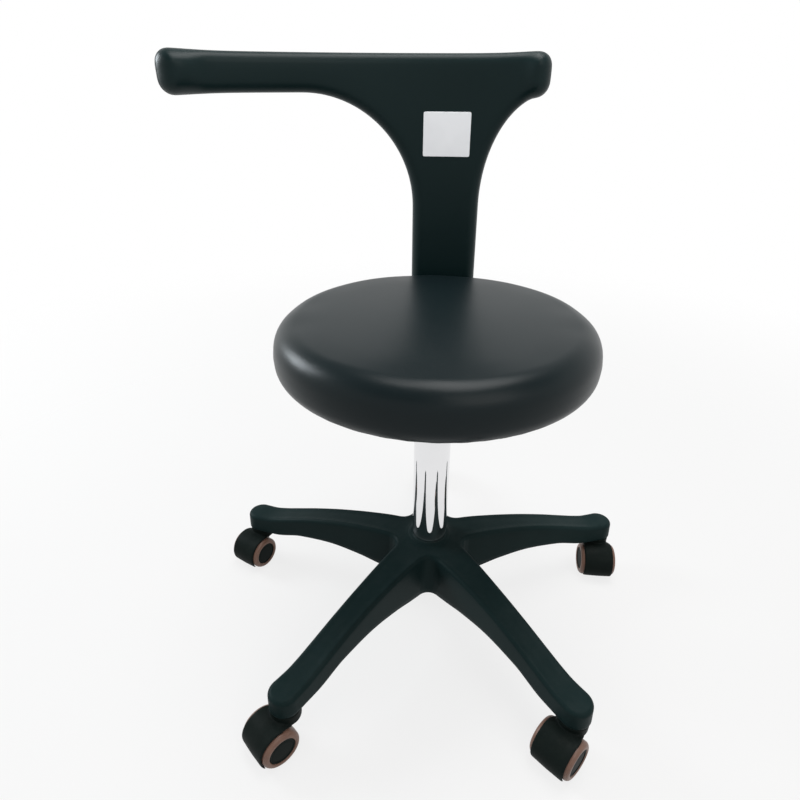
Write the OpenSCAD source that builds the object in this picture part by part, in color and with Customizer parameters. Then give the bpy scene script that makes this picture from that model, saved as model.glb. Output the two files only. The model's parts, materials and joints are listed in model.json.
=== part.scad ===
// Dentist's stool: a round padded seat on a gas lift, a five-legged nylon base on twin-wheel
// castors, and a T-shaped back with one long arm that swings round the seat.
// Millimetres, +Z up. The floor is z = 0. Angles are in degrees from +X, seen from above.

/* [Base] */
// Radius of the circle that the five castor stems stand on
stem_circle_r = 294; // [240:1:330]
// Radius of the rounded end of a leg, seen from above
leg_end_r = 21; // [19:0.5:26]
// Height of a leg's underside above the floor, at its end
leg_end_z = 62; // [60:0.5:75]
// Depth of a leg at its end
leg_end_depth = 29; // [27:1:44]
// Half the width of a leg's flat top, along its run
leg_half_w = 17; // [14:0.5:22]
// Half the width of a leg where it joins the hub
leg_root_half_w = 25; // [20:0.5:30]
// Height of the hub's top face above the floor
hub_top_z = 132; // [120:1:160]
// Wall of the hollow legs
leg_wall = 4; // [3:0.5:6]
// Wall of the hub round the lift tube
hub_wall = 8; // [6:0.5:12]

/* [Castors] */
// Wheel radius
wheel_r = 25; // [22:0.5:28]
// Width of one wheel
wheel_w = 19; // [16:0.5:22]
// Thickness of the tread's running band
tread_t = 3; // [2:0.5:4]
// Width of the tread's ring, as it shows on the wheel's face
tread_lip = 7.5; // [5:0.5:10]
// Thickness of the web between the two wheels
fork_w = 15; // [14:0.5:18]
// Distance from the stem's axis to the wheels' axle
trail = 24; // [16:0.5:26]
// Thickness of the hood over the wheels
hood_t = 2.5; // [2:0.25:3.5]
// How far the wheels stand out of the hood on each side
wheel_proud = 4; // [2:0.5:6]
// Axle diameter
axle_d = 6; // [5:0.5:8]
// Stem diameter inside the castor
stem_d = 10; // [8:0.5:11]
// Stem diameter inside the leg
stem_top_d = 11; // [10:0.5:12]
// How far the stem stands into the leg
stem_reach = 22; // [18:1:26]

/* [Lift] */
// Outer diameter of the chromed lift tube
tube_d = 50; // [48:0.5:55]
// Wall of the lift tube
tube_wall = 2; // [1.5:0.25:3]
// Length of the lift tube
tube_len = 244; // [225:1:260]
// Diameter of the gas cylinder that carries the seat
gas_d = 28; // [26:0.5:30]
// Stroke of the lift
stroke = 125; // [80:1:130]
// Diameter of the piston rod
rod_d = 10; // [8:0.5:12]
// Outer diameter of the hub tube that the gas cylinder plugs into
socket_d = 40; // [38:0.5:44]

/* [Seat] */
// Diameter of the padded seat
seat_d = 400; // [350:1:430]
// Height of the seat's top above the floor, with the lift down
seat_top_z = 470; // [460:1:490]
// Thickness of the padded seat
seat_t = 66; // [60:1:85]
// Radius of the seat's top edge
seat_edge_r = 32; // [20:1:34]
// Radius of the seat's bottom edge
seat_under_r = 24; // [10:1:26]
// Thickness of the cover
cover_t = 1.5; // [1:0.25:2.5]
// Thickness of the plywood board
board_t = 12; // [9:1:18]
// Spacing of the four seat bolts, both ways
bolt_pitch = 152; // [140:1:160]
// Side of the square flange of the mechanism pan
pan_side = 184; // [176:1:200]
// Diameter of the seat bolts
bolt_d = 6; // [5:0.5:8]

/* [Lever] */
// Distance from the valve pin to the lever's pivot
lever_inner = 35; // [30:1:40]
// Distance from the lever's pivot to its outer tip
lever_outer = 140; // [110:1:145]
// Diameter of the lever's rod
lever_d = 8; // [6:0.5:9]

/* [Back] */
// Height of the back's top edge above the floor, with the lift down
back_top_z = 755; // [700:1:780]
// Depth of the long arm, from its top edge to its lower edge
arm_depth = 46; // [38:1:60]
// Radius of the curve that the back follows, seen from above
back_curve_r = 540; // [420:5:700]
// Length of the long arm along that curve, from the stem's middle
arm_len = 379; // [330:1:400]
// Length of the short lobe along that curve, from the stem's middle
lobe_len = 134; // [120:1:165]
// Width of the stem
stem_w = 93; // [75:1:110]
// Thickness of the back
back_t = 32; // [28:1:40]
// Clearance between the seat and the back's stem
seat_gap = 10; // [6:0.5:20]
// How far the back stands swung round from the rear leg at rest
arm_rest = -3; // [-20:0.5:20]
// Width of the steel bar that carries the back
bar_w = 40; // [30:1:50]
// Thickness of that bar
bar_t = 8; // [6:0.5:10]
// Height of the sweep from the stem up to the long arm
arm_fillet_h = 151; // [100:1:170]
// Width of that sweep
arm_sweep = 152; // [100:1:200]
// Height of the sweep from the stem up to the short lobe
lobe_fillet_h = 146; // [100:1:170]
// Width of that sweep
lobe_sweep = 86; // [50:1:87]
// Width of the bare plate on the stem
plate_w = 66; // [40:1:80]
// Height of that plate
plate_h = 56; // [30:1:70]
// Height of the plate's middle above the floor
plate_z = 658; // [600:1:700]
// Thickness of that plate
plate_t = 0.6; // [0.4:0.1:1.5]
// Thickness of the glue line under it
plate_gap = 0.3; // [0.2:0.05:0.5]

/* [Fits] */
// Radial clearance of a running fit
run_fit = 0.06; // [0.03:0.01:0.1]
// Clearance between pieces that seat on each other
seat_fit = 0.05; // [0.02:0.01:0.1]
// Clearance between pieces that pass each other
pass_gap = 0.8; // [0.5:0.1:1.5]

/* [Hidden] */
$fn = 64;
LEGS = [0 : 4];
SIDES = ["a", "b"];
NYLON = [0.10, 0.11, 0.11];
BROWN = [0.45, 0.32, 0.27];
STEEL = [0.62, 0.63, 0.65];
CHROME = [0.85, 0.86, 0.88];
LEATHER = [0.09, 0.11, 0.12];
BRASS = [0.75, 0.62, 0.35];

// --- derived: base ---
// Directions of the legs, the first one to the rear
leg_angles = [for (i = LEGS) 90 + 72 * i];
// Directions in which the castors trail at rest, first the rear one
trail_angles = [60, 239, 224, 226, 267];
leg_top_end = leg_end_z + leg_end_depth;
hub_bottom_z = 58;
hub_r = tube_d / 2 + hub_wall;
web_r = 58;
web_top_z = hub_top_z - 14;
socket_r = stem_top_d / 2 + seat_fit;
socket_boss_r = 11;
socket_depth = stem_reach + 2;

// --- derived: castors ---
axle_z = wheel_r;
wheel_in = fork_w / 2 + 0.5;
wheel_out = wheel_in + wheel_w;
hood_half_w = wheel_out - wheel_proud;
hood_in_r = wheel_r + 1;
hood_out_r = hood_in_r + hood_t;
hood_boss_r = 19;
hood_top_z = leg_end_z - 2;
hood_lip_z = 9;
stem_bottom_z = 34;
core_r = wheel_r - tread_t;
face_r = wheel_r - tread_lip;

// --- derived: lift ---
tube_bottom_z = 62;
tube_top_z = tube_bottom_z + tube_len;
taper_top_z = hub_top_z - 6;
taper_drop = 1.5;
floor_t = 3;
ball_d = 4;
race_t = 1.5;
bearing_r = 14;
race_z = tube_bottom_z + floor_t + ball_d + 2 * seat_fit;
shoulder_z = race_z + race_t + seat_fit;
shoulder_t = 2;
buffer_t = 8;
gas_bottom_z = shoulder_z + shoulder_t + buffer_t + 0.4;
bush_len = 80;
bush_lip = 3;
piston_z = gas_bottom_z + stroke + 8;
piston_t = 12;
gas_bore_r = gas_d / 2 - 1.5;
gas_cap_t = 5;

// --- derived: seat ---
seat_under_z = seat_top_z - seat_t;
dust_t = 1;
board_z = seat_under_z + cover_t + dust_t;
board_top_z = board_z + board_t;
// The board ends where the cover's corner starts to rise past the board's underside
board_r = seat_d / 2 - seat_under_r + sqrt(dust_t * (2 * (seat_under_r - cover_t) - dust_t)) - 0.6;
lip_r = 150;
flange_t = 3;
pan_z = seat_under_z - flange_t;
pan_deep = 28;
pan_floor_z = pan_z - pan_deep;
pan_wall = 2.5;
pan_x = 55;
pan_y = 45;
valve_z = pan_floor_z + pan_wall + 4;
valve_stand = 6;
valve_travel = 3.6;
lever_z = valve_z + valve_stand + lever_d / 2;
socket_bottom_z = pan_floor_z - 50;
lever_drop = 9;

// --- derived: collar and bar ---
bush_t = 2;
circlip_t = 1.5;
collar_z = socket_bottom_z + 9;
collar_h = 22;
collar_in_r = socket_d / 2 + bush_t + run_fit;
collar_out_r = collar_in_r + 6;
bar_z = collar_z + (collar_h - bar_t) / 2;
back_front_y = seat_d / 2 + seat_gap;
back_mid_y = back_front_y + back_t / 2;
recess_y = back_front_y + back_t - bar_t - 4;
stem_bottom = seat_under_z - 28;
bar_top_z = seat_top_z + 90;
bend_r = 14;
bolt_rows = [bar_top_z - 25, bar_top_z - 95];
frame_t = 5;
frame_w = 30;
back_bolt_d = 8;

// --- derived: where the column stands, so that the origin is under the middle of the whole stool ---
function polar(r, a) = [r * cos(a), r * sin(a)];
function castor_xy(i) = polar(stem_circle_r, leg_angles[i]);
function axle_xy(i) = castor_xy(i) + polar(trail, trail_angles[i]);
function castor_reach(i) = [
    wheel_r * abs(cos(trail_angles[i])) + wheel_out * abs(sin(trail_angles[i])),
    wheel_r * abs(sin(trail_angles[i])) + wheel_out * abs(cos(trail_angles[i]))];
function turned(p, a) = [p[0] * cos(a) - p[1] * sin(a), p[0] * sin(a) + p[1] * cos(a)];
// A point of the back's plan at arc length s (the long arm is negative), offset outwards by o
function back_xy(s, o) = let (a = s / back_curve_r * 180 / PI)
    [(back_curve_r + o) * sin(a), back_mid_y - back_curve_r + (back_curve_r + o) * cos(a)];
arm_tip = turned(back_xy(-arm_len, 0), arm_rest);
wheel_right = max([for (i = LEGS) axle_xy(i)[0] + castor_reach(i)[0]]);
wheel_back = max([for (i = LEGS) axle_xy(i)[1] + castor_reach(i)[1]]);
wheel_front = min([for (i = LEGS) axle_xy(i)[1] - castor_reach(i)[1]]);
function to_grid(v) = 0.5 * round(v / 0.5);
column_x = to_grid(-(arm_tip[0] - 1 + wheel_right) / 2);
column_y = to_grid(-(wheel_back + wheel_front) / 2);

// ---------------------------------------------------------------- helpers

// Stands on the column's axis
module on_column() translate([column_x, column_y, 0]) children();

// The back and all that swings with it
module on_arm() on_column() rotate(arm_rest) children();

// Castor i's frame: the stem is its z axis and the wheels trail towards +x
module on_castor(i) on_column() translate(castor_xy(i)) rotate(trail_angles[i]) children();

module ring(r_out, r_in, h) difference() {
    cylinder(r = r_out, h = h);
    translate([0, 0, -1]) cylinder(r = r_in, h = h + 2);
}

// A disc or ring whose axis is the castor's axle, between two distances from the web's middle
module on_axle(from, to, r) translate([trail, 0, axle_z]) rotate([90, 0, 0])
    translate([0, 0, from]) cylinder(r = r, h = to - from);

// Side b is the mirror image of side a
module wheel_side(s) mirror([0, s == "a" ? 0 : 1, 0]) children();

// ---------------------------------------------------------------- base

// Top edge of a leg in side view, from the hub outwards
leg_crown = [[0, hub_top_z - 2], [web_r + 8, hub_top_z - 4], [105, hub_top_z - 8], [150, hub_top_z - 15],
    [195, hub_top_z - 25], [232, hub_top_z - 35], [258, leg_top_end + 1], [272, leg_top_end]];
// Lower edge of a leg's walls in side view, from the hub outwards
leg_belly = [[0, hub_bottom_z + 5], [web_r + 8, hub_bottom_z + 5], [110, hub_bottom_z + 13],
    [160, hub_bottom_z + 18], [210, hub_bottom_z + 15], [262, leg_end_z]];

module leg_side(inset, reach) {
    end_r = 9;
    run = stem_circle_r + leg_end_r - inset;
    polygon(concat(
        [for (p = leg_crown) [p[0] * stem_circle_r / 294, p[1] - inset]],
        [for (a = [80 : -16 : 0]) [run - end_r + end_r * cos(a), leg_top_end - inset - end_r + end_r * sin(a)]],
        [[run, leg_end_z - reach]],
        [for (k = [len(leg_belly) - 1 : -1 : 0])
            [leg_belly[k][0] * stem_circle_r / 294, leg_belly[k][1] - reach]]));
}

module leg_plan(inset) {
    end_r = leg_end_r - inset;
    polygon(concat(
        [[0, -leg_root_half_w + inset], [web_r - 6, -leg_root_half_w + 2 + inset],
         [web_r + 60, -leg_half_w - 1 + inset], [stem_circle_r - 60, -leg_half_w + inset]],
        [for (a = [-84 : 14 : 84]) [stem_circle_r + end_r * cos(a), end_r * sin(a)]],
        [[stem_circle_r - 60, leg_half_w - inset], [web_r + 60, leg_half_w + 1 - inset],
         [web_r - 6, leg_root_half_w - 2 - inset], [0, leg_root_half_w - inset]]));
}

module leg_form(inset, reach) intersection() {
    rotate([90, 0, 0]) linear_extrude(height = 120, center = true) leg_side(inset, reach);
    translate([0, 0, -1]) linear_extrude(height = hub_top_z + 2) leg_plan(inset);
}

// The hollow under a leg, open below, with its ribs and the socket's boss left standing
module leg_hollow() difference() {
    leg_form(leg_wall, 2 * leg_wall);
    translate([-1, -60, 0]) cube([web_r + 3, 120, hub_top_z + 10]);
    for (r = [105 : 45 : stem_circle_r - 40]) translate([r, -60, 0]) cube([2.5, 120, hub_top_z + 10]);
    translate([0, -1.25, 0]) cube([stem_circle_r, 2.5, hub_top_z + 10]);
    translate([stem_circle_r, 0, 0]) cylinder(r = socket_boss_r, h = hub_top_z);
}

// The annular hollow under the hub, with ribs between the barrel and the rim
module hub_hollow() difference() {
    translate([0, 0, hub_bottom_z - 5]) ring(web_r - leg_wall, hub_r, web_top_z - leg_wall - hub_bottom_z + 5);
    for (a = leg_angles) rotate(a + 36) translate([0, -1.5, 0]) cube([web_r, 3, hub_top_z]);
}

module star_base() color(NYLON) on_column() difference() {
    union() {
        for (a = leg_angles) rotate(a) leg_form(0, 0);
        translate([0, 0, hub_bottom_z]) cylinder(r = web_r, h = web_top_z - hub_bottom_z);
        translate([0, 0, hub_bottom_z]) cylinder(r = hub_r, h = hub_top_z - hub_bottom_z);
    }
    for (a = leg_angles) rotate(a) leg_hollow();
    hub_hollow();
    // The lift tube's tapered seat, and the room above it
    rotate_extrude() polygon([[0, hub_bottom_z - 1], [tube_d / 2 - taper_drop + seat_fit, hub_bottom_z - 1],
        [tube_d / 2 - taper_drop + seat_fit, tube_bottom_z], [tube_d / 2 + seat_fit, taper_top_z],
        [tube_d / 2 + seat_fit, hub_top_z + 1], [0, hub_top_z + 1]]);
    for (a = leg_angles) rotate(a) translate([stem_circle_r, 0, leg_end_z - 10])
        cylinder(r = socket_r, h = socket_depth + 10);
}

// Each stem carries a collar under the leg and a grip ring that springs into the leg's socket
module caster_stems() color(STEEL) on_column() for (i = LEGS) translate(castor_xy(i)) {
    translate([0, 0, stem_bottom_z]) cylinder(d = stem_d, h = leg_end_z - stem_bottom_z);
    translate([0, 0, leg_end_z - 1.5]) cylinder(r = 8, h = 1.5);
    difference() {
        translate([0, 0, leg_end_z]) cylinder(d = stem_top_d, h = stem_reach);
        translate([0, 0, leg_end_z + stem_reach - 6]) ring(stem_top_d, stem_top_d / 2 - 1.2, 4);
    }
    translate([0, 0, leg_end_z + stem_reach - 5.9]) difference() {
        cylinder(d = stem_top_d - 0.1, h = 3.8);
        translate([0, 0, -1]) cylinder(r = stem_top_d / 2 - 1.1, h = 6);
        translate([0, -0.6, -1]) cube([10, 1.2, 6]);
    }
}

// ---------------------------------------------------------------- lift

module column_tube() color(CHROME) on_column() {
    seat_r = tube_d / 2 - taper_drop;
    rotate_extrude() polygon([
        [rod_d / 2 + run_fit, tube_bottom_z], [seat_r, tube_bottom_z], [tube_d / 2, taper_top_z],
        [tube_d / 2, tube_top_z - 0.8], [tube_d / 2 - 0.8, tube_top_z],
        [tube_d / 2 - tube_wall, tube_top_z], [tube_d / 2 - tube_wall, taper_top_z],
        [seat_r - tube_wall, tube_bottom_z + floor_t], [rod_d / 2 + run_fit, tube_bottom_z + floor_t]]);
}

module guide_bush() color(NYLON) on_column() difference() {
    union() {
        translate([0, 0, tube_top_z - bush_len])
            cylinder(r = tube_d / 2 - tube_wall - seat_fit, h = bush_len);
        translate([0, 0, tube_top_z + seat_fit]) cylinder(r = tube_d / 2 - 1, h = bush_lip);
        translate([0, 0, tube_top_z - 1]) cylinder(r = tube_d / 2 - tube_wall - seat_fit, h = 2);
    }
    translate([0, 0, tube_top_z - bush_len - 1]) cylinder(r = gas_d / 2 + run_fit, h = bush_len + 10);
}

module piston_rod() color(STEEL) on_column() {
    clip_room = 8;
    difference() {
        translate([0, 0, tube_bottom_z - clip_room]) cylinder(d = rod_d, h = piston_z + piston_t + clip_room - tube_bottom_z);
        translate([0, 0, tube_bottom_z - clip_room + 3]) ring(rod_d, rod_d / 2 - 1, 1.6);
    }
    translate([0, 0, shoulder_z]) cylinder(d = rod_d + 5, h = shoulder_t);
    translate([0, 0, piston_z]) cylinder(r = gas_bore_r - run_fit, h = piston_t);
}

module bearing_race() color(STEEL) on_column() translate([0, 0, race_z])
    ring(bearing_r + 4, rod_d / 2 + run_fit, race_t);

module ball_cage() color(BRASS) on_column() {
    balls = 12;
    mid_z = tube_bottom_z + floor_t + seat_fit + ball_d / 2;
    for (k = [0 : balls - 1]) rotate(k * 360 / balls) translate([bearing_r, 0, mid_z]) sphere(d = ball_d);
    translate([0, 0, mid_z - 0.8]) difference() {
        ring(bearing_r + 3.5, bearing_r - 3.5, 1.6);
        for (k = [0 : balls - 1]) rotate(k * 360 / balls) translate([bearing_r, 0, -1])
            cylinder(d = ball_d + 0.3, h = 4);
    }
}

module rubber_buffer() color(NYLON) on_column() translate([0, 0, shoulder_z + shoulder_t + seat_fit])
    ring(gas_d / 2 - 1, rod_d / 2 + 0.2, buffer_t);

module rod_clip() color(STEEL) on_column() translate([0, 0, tube_bottom_z - 5 + 0.1]) difference() {
    cylinder(r = rod_d / 2 + 3, h = 1.4);
    translate([0, 0, -1]) cylinder(r = rod_d / 2 - 0.9, h = 4);
    translate([0, -rod_d / 2 + 1, -1]) cube([20, rod_d - 2, 4]);
}

module gas_cylinder() color(NYLON) on_column() rotate_extrude() polygon([
    [rod_d / 2 + run_fit, gas_bottom_z], [gas_d / 2 - 1, gas_bottom_z], [gas_d / 2, gas_bottom_z + 1],
    [gas_d / 2, socket_bottom_z], [gas_d / 2 - 1, valve_z], [3 + run_fit, valve_z],
    [3 + run_fit, valve_z - 12], [0, valve_z - 12], [0, valve_z - 40], [gas_bore_r, valve_z - 40],
    [gas_bore_r, gas_bottom_z + gas_cap_t], [rod_d / 2 + run_fit, gas_bottom_z + gas_cap_t]]);

module valve_pin() color(STEEL) on_column() translate([0, 0, valve_z - 12 + valve_travel + 0.2])
    cylinder(r = 3, h = 12 - valve_travel - 0.2 + valve_stand);

// ---------------------------------------------------------------- seat mechanism

// The tapered tube that the gas cylinder plugs into, welded under the pan
module taper_socket() color(STEEL) on_column() difference() {
    translate([0, 0, socket_bottom_z]) cylinder(d = socket_d, h = pan_floor_z - socket_bottom_z);
    translate([0, 0, socket_bottom_z]) cylinder(r1 = gas_d / 2 + seat_fit,
        r2 = gas_d / 2 - (pan_floor_z - socket_bottom_z) / (valve_z - socket_bottom_z) + seat_fit,
        h = pan_floor_z - socket_bottom_z);
    translate([0, 0, socket_bottom_z + 3]) ring(socket_d, socket_d / 2 - 1.2, circlip_t + 0.1);
}

module mechanism_pan() color(NYLON) on_column() difference() {
    union() {
        translate([-pan_side / 2, -pan_side / 2, pan_z]) cube([pan_side, pan_side, flange_t]);
        translate([-pan_x, -pan_y, pan_floor_z]) cube([2 * pan_x, 2 * pan_y, pan_deep + 1]);
    }
    translate([-pan_x + pan_wall, -pan_y + pan_wall, pan_floor_z + pan_wall])
        cube([2 * (pan_x - pan_wall), 2 * (pan_y - pan_wall), pan_deep + 5]);
    translate([0, 0, pan_floor_z - 1]) cylinder(r = gas_d / 2 + seat_fit, h = 10);
    // Slot that the lever leaves through
    translate([-pan_x - 1, -lever_d / 2 - pass_gap, lever_z - lever_d / 2 - pass_gap])
        cube([pan_wall + 2, lever_d + 2 * pass_gap, lever_d + 2 * pass_gap + 3]);
    // Holes of the pivot pin
    translate([-lever_inner, 0, lever_z]) rotate([90, 0, 0]) cylinder(r = 2.5 + seat_fit, h = 3 * pan_y, center = true);
    for (x = [-1, 1], y = [-1, 1]) translate([x * bolt_pitch / 2, y * bolt_pitch / 2, pan_z - 1])
        cylinder(r = bolt_d / 2 + 0.3, h = flange_t + 2);
}

module lever_pivot() color(STEEL) on_column() translate([-lever_inner, 0, lever_z]) rotate([90, 0, 0])
    cylinder(r = 2.5, h = 2 * pan_y + 4, center = true);

// Rod over the valve pin, through the pan's slot and out to the grip, with a boss at its pivot
module lever_rod() color(STEEL) on_column() {
    bend_x = -pan_x - 14;
    low_x = bend_x - 16;
    low_z = lever_z - lever_drop;
    tip_x = -lever_inner - lever_outer + 12;
    difference() {
        union() {
            translate([bend_x, 0, lever_z]) rotate([0, 90, 0]) cylinder(d = lever_d, h = 10 - bend_x);
            hull() {
                translate([bend_x, 0, lever_z]) sphere(d = lever_d + 0.6, $fn = 32);
                translate([low_x, 0, low_z]) sphere(d = lever_d + 0.6, $fn = 32);
            }
            translate([tip_x, 0, low_z]) rotate([0, 90, 0]) cylinder(d = lever_d, h = low_x - tip_x);
            translate([-lever_inner, 0, lever_z]) rotate([90, 0, 0]) cylinder(r = 6.5, h = 10, center = true);
        }
        translate([-lever_inner, 0, lever_z]) rotate([90, 0, 0]) cylinder(r = 2.5 + run_fit, h = 20, center = true);
        // Flat that bears on the valve pin
        translate([-8, -10, lever_z - lever_d / 2 - 5]) cube([40, 20, 5 + 0.1]);
    }
}

module lever_grip() color(NYLON) on_column() {
    low_z = lever_z - lever_drop;
    tip_x = -lever_inner - lever_outer;
    grip_len = 58;
    difference() {
        hull() {
            translate([tip_x + 11, 0, low_z - 4.5]) cylinder(r = 11, h = 9);
            translate([tip_x + grip_len, 0, low_z - 5.5]) cylinder(r = 7, h = 11);
        }
        translate([tip_x + 12 - 1, 0, low_z]) rotate([0, 90, 0]) cylinder(r = lever_d / 2 + seat_fit, h = grip_len + 20);
    }
}

// ---------------------------------------------------------------- seat

// Half outline of the padded seat, shrunk by inset, from its underside to the middle of its top
module seat_outline(inset) {
    r = seat_d / 2 - inset;
    low = seat_under_z + inset;
    high = seat_top_z - inset;
    top_r = seat_edge_r - inset;
    under_r = seat_under_r - inset;
    polygon(concat([[0, low]],
        [for (a = [-90 : 10 : 0]) [r - under_r + under_r * cos(a), low + under_r + under_r * sin(a)]],
        [for (a = [0 : 6 : 90]) [r - top_r + top_r * cos(a), high - top_r + top_r * sin(a)]],
        [[0, high]]));
}

module seat_cover() color(LEATHER) on_column() difference() {
    rotate_extrude() seat_outline(0);
    rotate_extrude() difference() {
        seat_outline(cover_t);
        translate([0, seat_under_z - 1]) square([lip_r, 1 + cover_t]);
    }
    translate([0, 0, seat_under_z - 1]) cylinder(r = lip_r, h = cover_t + 1.5);
}

module seat_foam() color([0.85, 0.8, 0.6]) on_column() difference() {
    rotate_extrude() seat_outline(cover_t + seat_fit);
    translate([0, 0, seat_under_z - 1]) cylinder(r = board_r + seat_fit, h = board_top_z - seat_under_z + 1 + seat_fit);
}

module seat_board() color([0.72, 0.56, 0.36]) on_column() difference() {
    translate([0, 0, board_z]) cylinder(r = board_r, h = board_t);
    for (x = [-1, 1], y = [-1, 1]) translate([x * bolt_pitch / 2, y * bolt_pitch / 2, board_z - 1]) {
        cylinder(r = bolt_d / 2 + 1.2, h = board_t + 2);
        translate([0, 0, board_t + 1 - 1.6]) cylinder(r = 9.2, h = 4);
    }
}

module dust_cover() color([0.12, 0.12, 0.13]) on_column() difference() {
    translate([0, 0, seat_under_z + cover_t - 0.6]) cylinder(r = lip_r - 0.6, h = dust_t + 0.5);
    for (x = [-1, 1], y = [-1, 1]) translate([x * bolt_pitch / 2, y * bolt_pitch / 2, seat_under_z])
        cylinder(r = bolt_d / 2 + 0.8, h = 10);
}

// Hexagon bolts with their washers
module seat_bolts() color(STEEL) on_column()
    for (x = [-1, 1], y = [-1, 1]) translate([x * bolt_pitch / 2, y * bolt_pitch / 2, pan_z]) {
        translate([0, 0, -1.2 - seat_fit]) ring(bolt_d, bolt_d / 2 + 0.1, 1.2);
        translate([0, 0, -5.3]) cylinder(r = bolt_d * 0.9, h = 4, $fn = 6);
        translate([0, 0, -1.4]) cylinder(d = bolt_d, h = 18);
    }

// Tee nuts pressed into the board from above
module tee_nuts() color(STEEL) on_column()
    for (x = [-1, 1], y = [-1, 1]) translate([x * bolt_pitch / 2, y * bolt_pitch / 2, board_top_z - 1.55])
        difference() {
            union() {
                cylinder(r = 9, h = 1.5);
                translate([0, 0, -7]) cylinder(r = bolt_d / 2 + 1.1, h = 7.5);
            }
            translate([0, 0, -10]) cylinder(r = bolt_d / 2 + seat_fit, h = 20);
        }

// ---------------------------------------------------------------- swinging back

module collar_circlip() color(STEEL) on_column() translate([0, 0, socket_bottom_z + 3 + 0.05]) difference() {
    cylinder(r = socket_d / 2 + 3, h = circlip_t);
    translate([0, 0, -1]) cylinder(r = socket_d / 2 - 1.1, h = 5);
    translate([0, -5, -1]) cube([40, 10, 5]);
}

// Flanged bush that the collar turns on; the flange rests on the circlip
module collar_bush() color([0.9, 0.9, 0.86]) on_arm() difference() {
    union() {
        translate([0, 0, collar_z - 3]) cylinder(r = collar_out_r - 1, h = 3 - seat_fit);
        translate([0, 0, collar_z - 1]) cylinder(r = collar_in_r - seat_fit, h = collar_h + 1);
    }
    translate([0, 0, collar_z - 10]) cylinder(r = socket_d / 2 + run_fit, h = collar_h + 20);
}

module arm_collar() color(NYLON) on_arm() translate([0, 0, collar_z]) ring(collar_out_r, collar_in_r, collar_h);

// Flat bar: out from the collar under the seat, round a bend, and up the back's recess
module arm_bar() color(NYLON) on_arm() {
    in_y = collar_out_r + seat_fit;
    up_y = recess_y;
    low = bar_z;
    difference() {
        translate([-bar_w / 2, 0, 0]) rotate([90, 0, 90]) linear_extrude(height = bar_w) polygon(concat(
            [[in_y - 4, low], [in_y - 4, low + bar_t]],
            [for (a = [-90 : 10 : 0]) [up_y - bend_r + bend_r * cos(a), low + bar_t + bend_r + bend_r * sin(a)]],
            [[up_y, bar_top_z], [up_y + bar_t, bar_top_z]],
            [for (a = [0 : -10 : -90]) [up_y - bend_r + (bend_r + bar_t) * cos(a),
                low + bar_t + bend_r + (bend_r + bar_t) * sin(a)]]));
        translate([0, 0, low - 1]) cylinder(r = in_y, h = bar_t + 2);
        for (z = bolt_rows) translate([0, up_y - 1, z]) rotate([-90, 0, 0]) cylinder(r = back_bolt_d / 2 + 0.25, h = bar_t + 2);
    }
}

// Lower edge of the back at arc length s: the stem, and a quarter ellipse up to each wing
arm_low_z = back_top_z - arm_depth;
function quarter(t) = sqrt(max(0, 1 - t * t));
function back_low(s) =
    let (out = abs(s) - stem_w / 2, sweep = s < 0 ? arm_sweep : lobe_sweep,
         fillet_h = s < 0 ? arm_fillet_h : lobe_fillet_h)
    out < 0 ? stem_bottom
    : out < sweep ? arm_low_z - fillet_h * (1 - quarter(1 - out / sweep))
    : arm_low_z;

// Distance along the curve from arc length s to the nearer end, and how much the back swells there
function to_end(s) = max(0, min(s + arm_len, lobe_len - s));
function swell(s, reach) = exp(-pow(to_end(s) / reach, 2));

// One upright section of the back: a rounded rectangle from low to high, at arc length s
SECTION = [[-1, -1], [-1, 1], [1, 1], [1, -1]];
function back_section(s, low, high, thick) =
    let (r = min(thick, high - low) * 0.42)
    [for (k = [0 : 3]) for (j = [0 : 3])
        let (c = SECTION[k], a = 180 - 90 * k + (k == 0 ? 90 : 90) - 30 * j,
             o = c[0] * (thick / 2 - r) + r * cos(a), z = (low + high) / 2 + c[1] * ((high - low) / 2 - r) + r * sin(a),
             p = back_xy(s, o))
        [p[0], p[1], z]];

module back_solid() {
    cap = [for (t = [0 : 15 : 75]) t];
    end_r = 16;
    function shrink(e) = e >= end_r ? 1 : quarter(1 - e / end_r);
    flat = concat(
        [for (t = cap) -arm_len + end_r * (1 - cos(t))],
        [for (s = [-arm_len + end_r : 24 : -stem_w / 2 - arm_sweep - 12]) s],
        [for (k = [0 : 12]) -stem_w / 2 - arm_sweep * (1 - sin(k * 7.5)) - (k == 12 ? 0.2 : 0)],
        [-stem_w / 2 + 0.2, -stem_w / 4, 0, stem_w / 4, stem_w / 2 - 0.2],
        [for (k = [12 : -1 : 3]) stem_w / 2 + lobe_sweep * (1 - sin(k * 7.5)) + (k == 12 ? 0.2 : 0)],
        [for (t = [cap[5] : -15 : 0]) lobe_len - end_r * (1 - cos(t))]);
    stations = [for (s = flat) if (s > -arm_len + 0.3 && s < lobe_len - 0.3) s];
    rows = [for (s = stations)
        let (f = shrink(to_end(s)), mid = (back_low(s) + back_top_z) / 2, thick = back_t + 8 * swell(s, 45),
             half = (back_top_z - back_low(s)) / 2 + 2.5 * swell(s, 50) - (1 - f) * end_r)
        back_section(s, mid - half, mid + half, thick * (0.35 + 0.65 * f))];
    n = 16;
    m = len(rows);
    polyhedron(
        points = [for (row = rows) each row],
        faces = concat(
            [for (i = [0 : m - 2], j = [0 : n - 1]) each [
                [i * n + j, (i + 1) * n + j, (i + 1) * n + (j + 1) % n],
                [i * n + j, (i + 1) * n + (j + 1) % n, i * n + (j + 1) % n]]],
            [for (j = [1 : n - 2]) [0, j, j + 1]],
            [for (j = [1 : n - 2]) [(m - 1) * n, (m - 1) * n + j + 1, (m - 1) * n + j]]));
}

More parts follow.
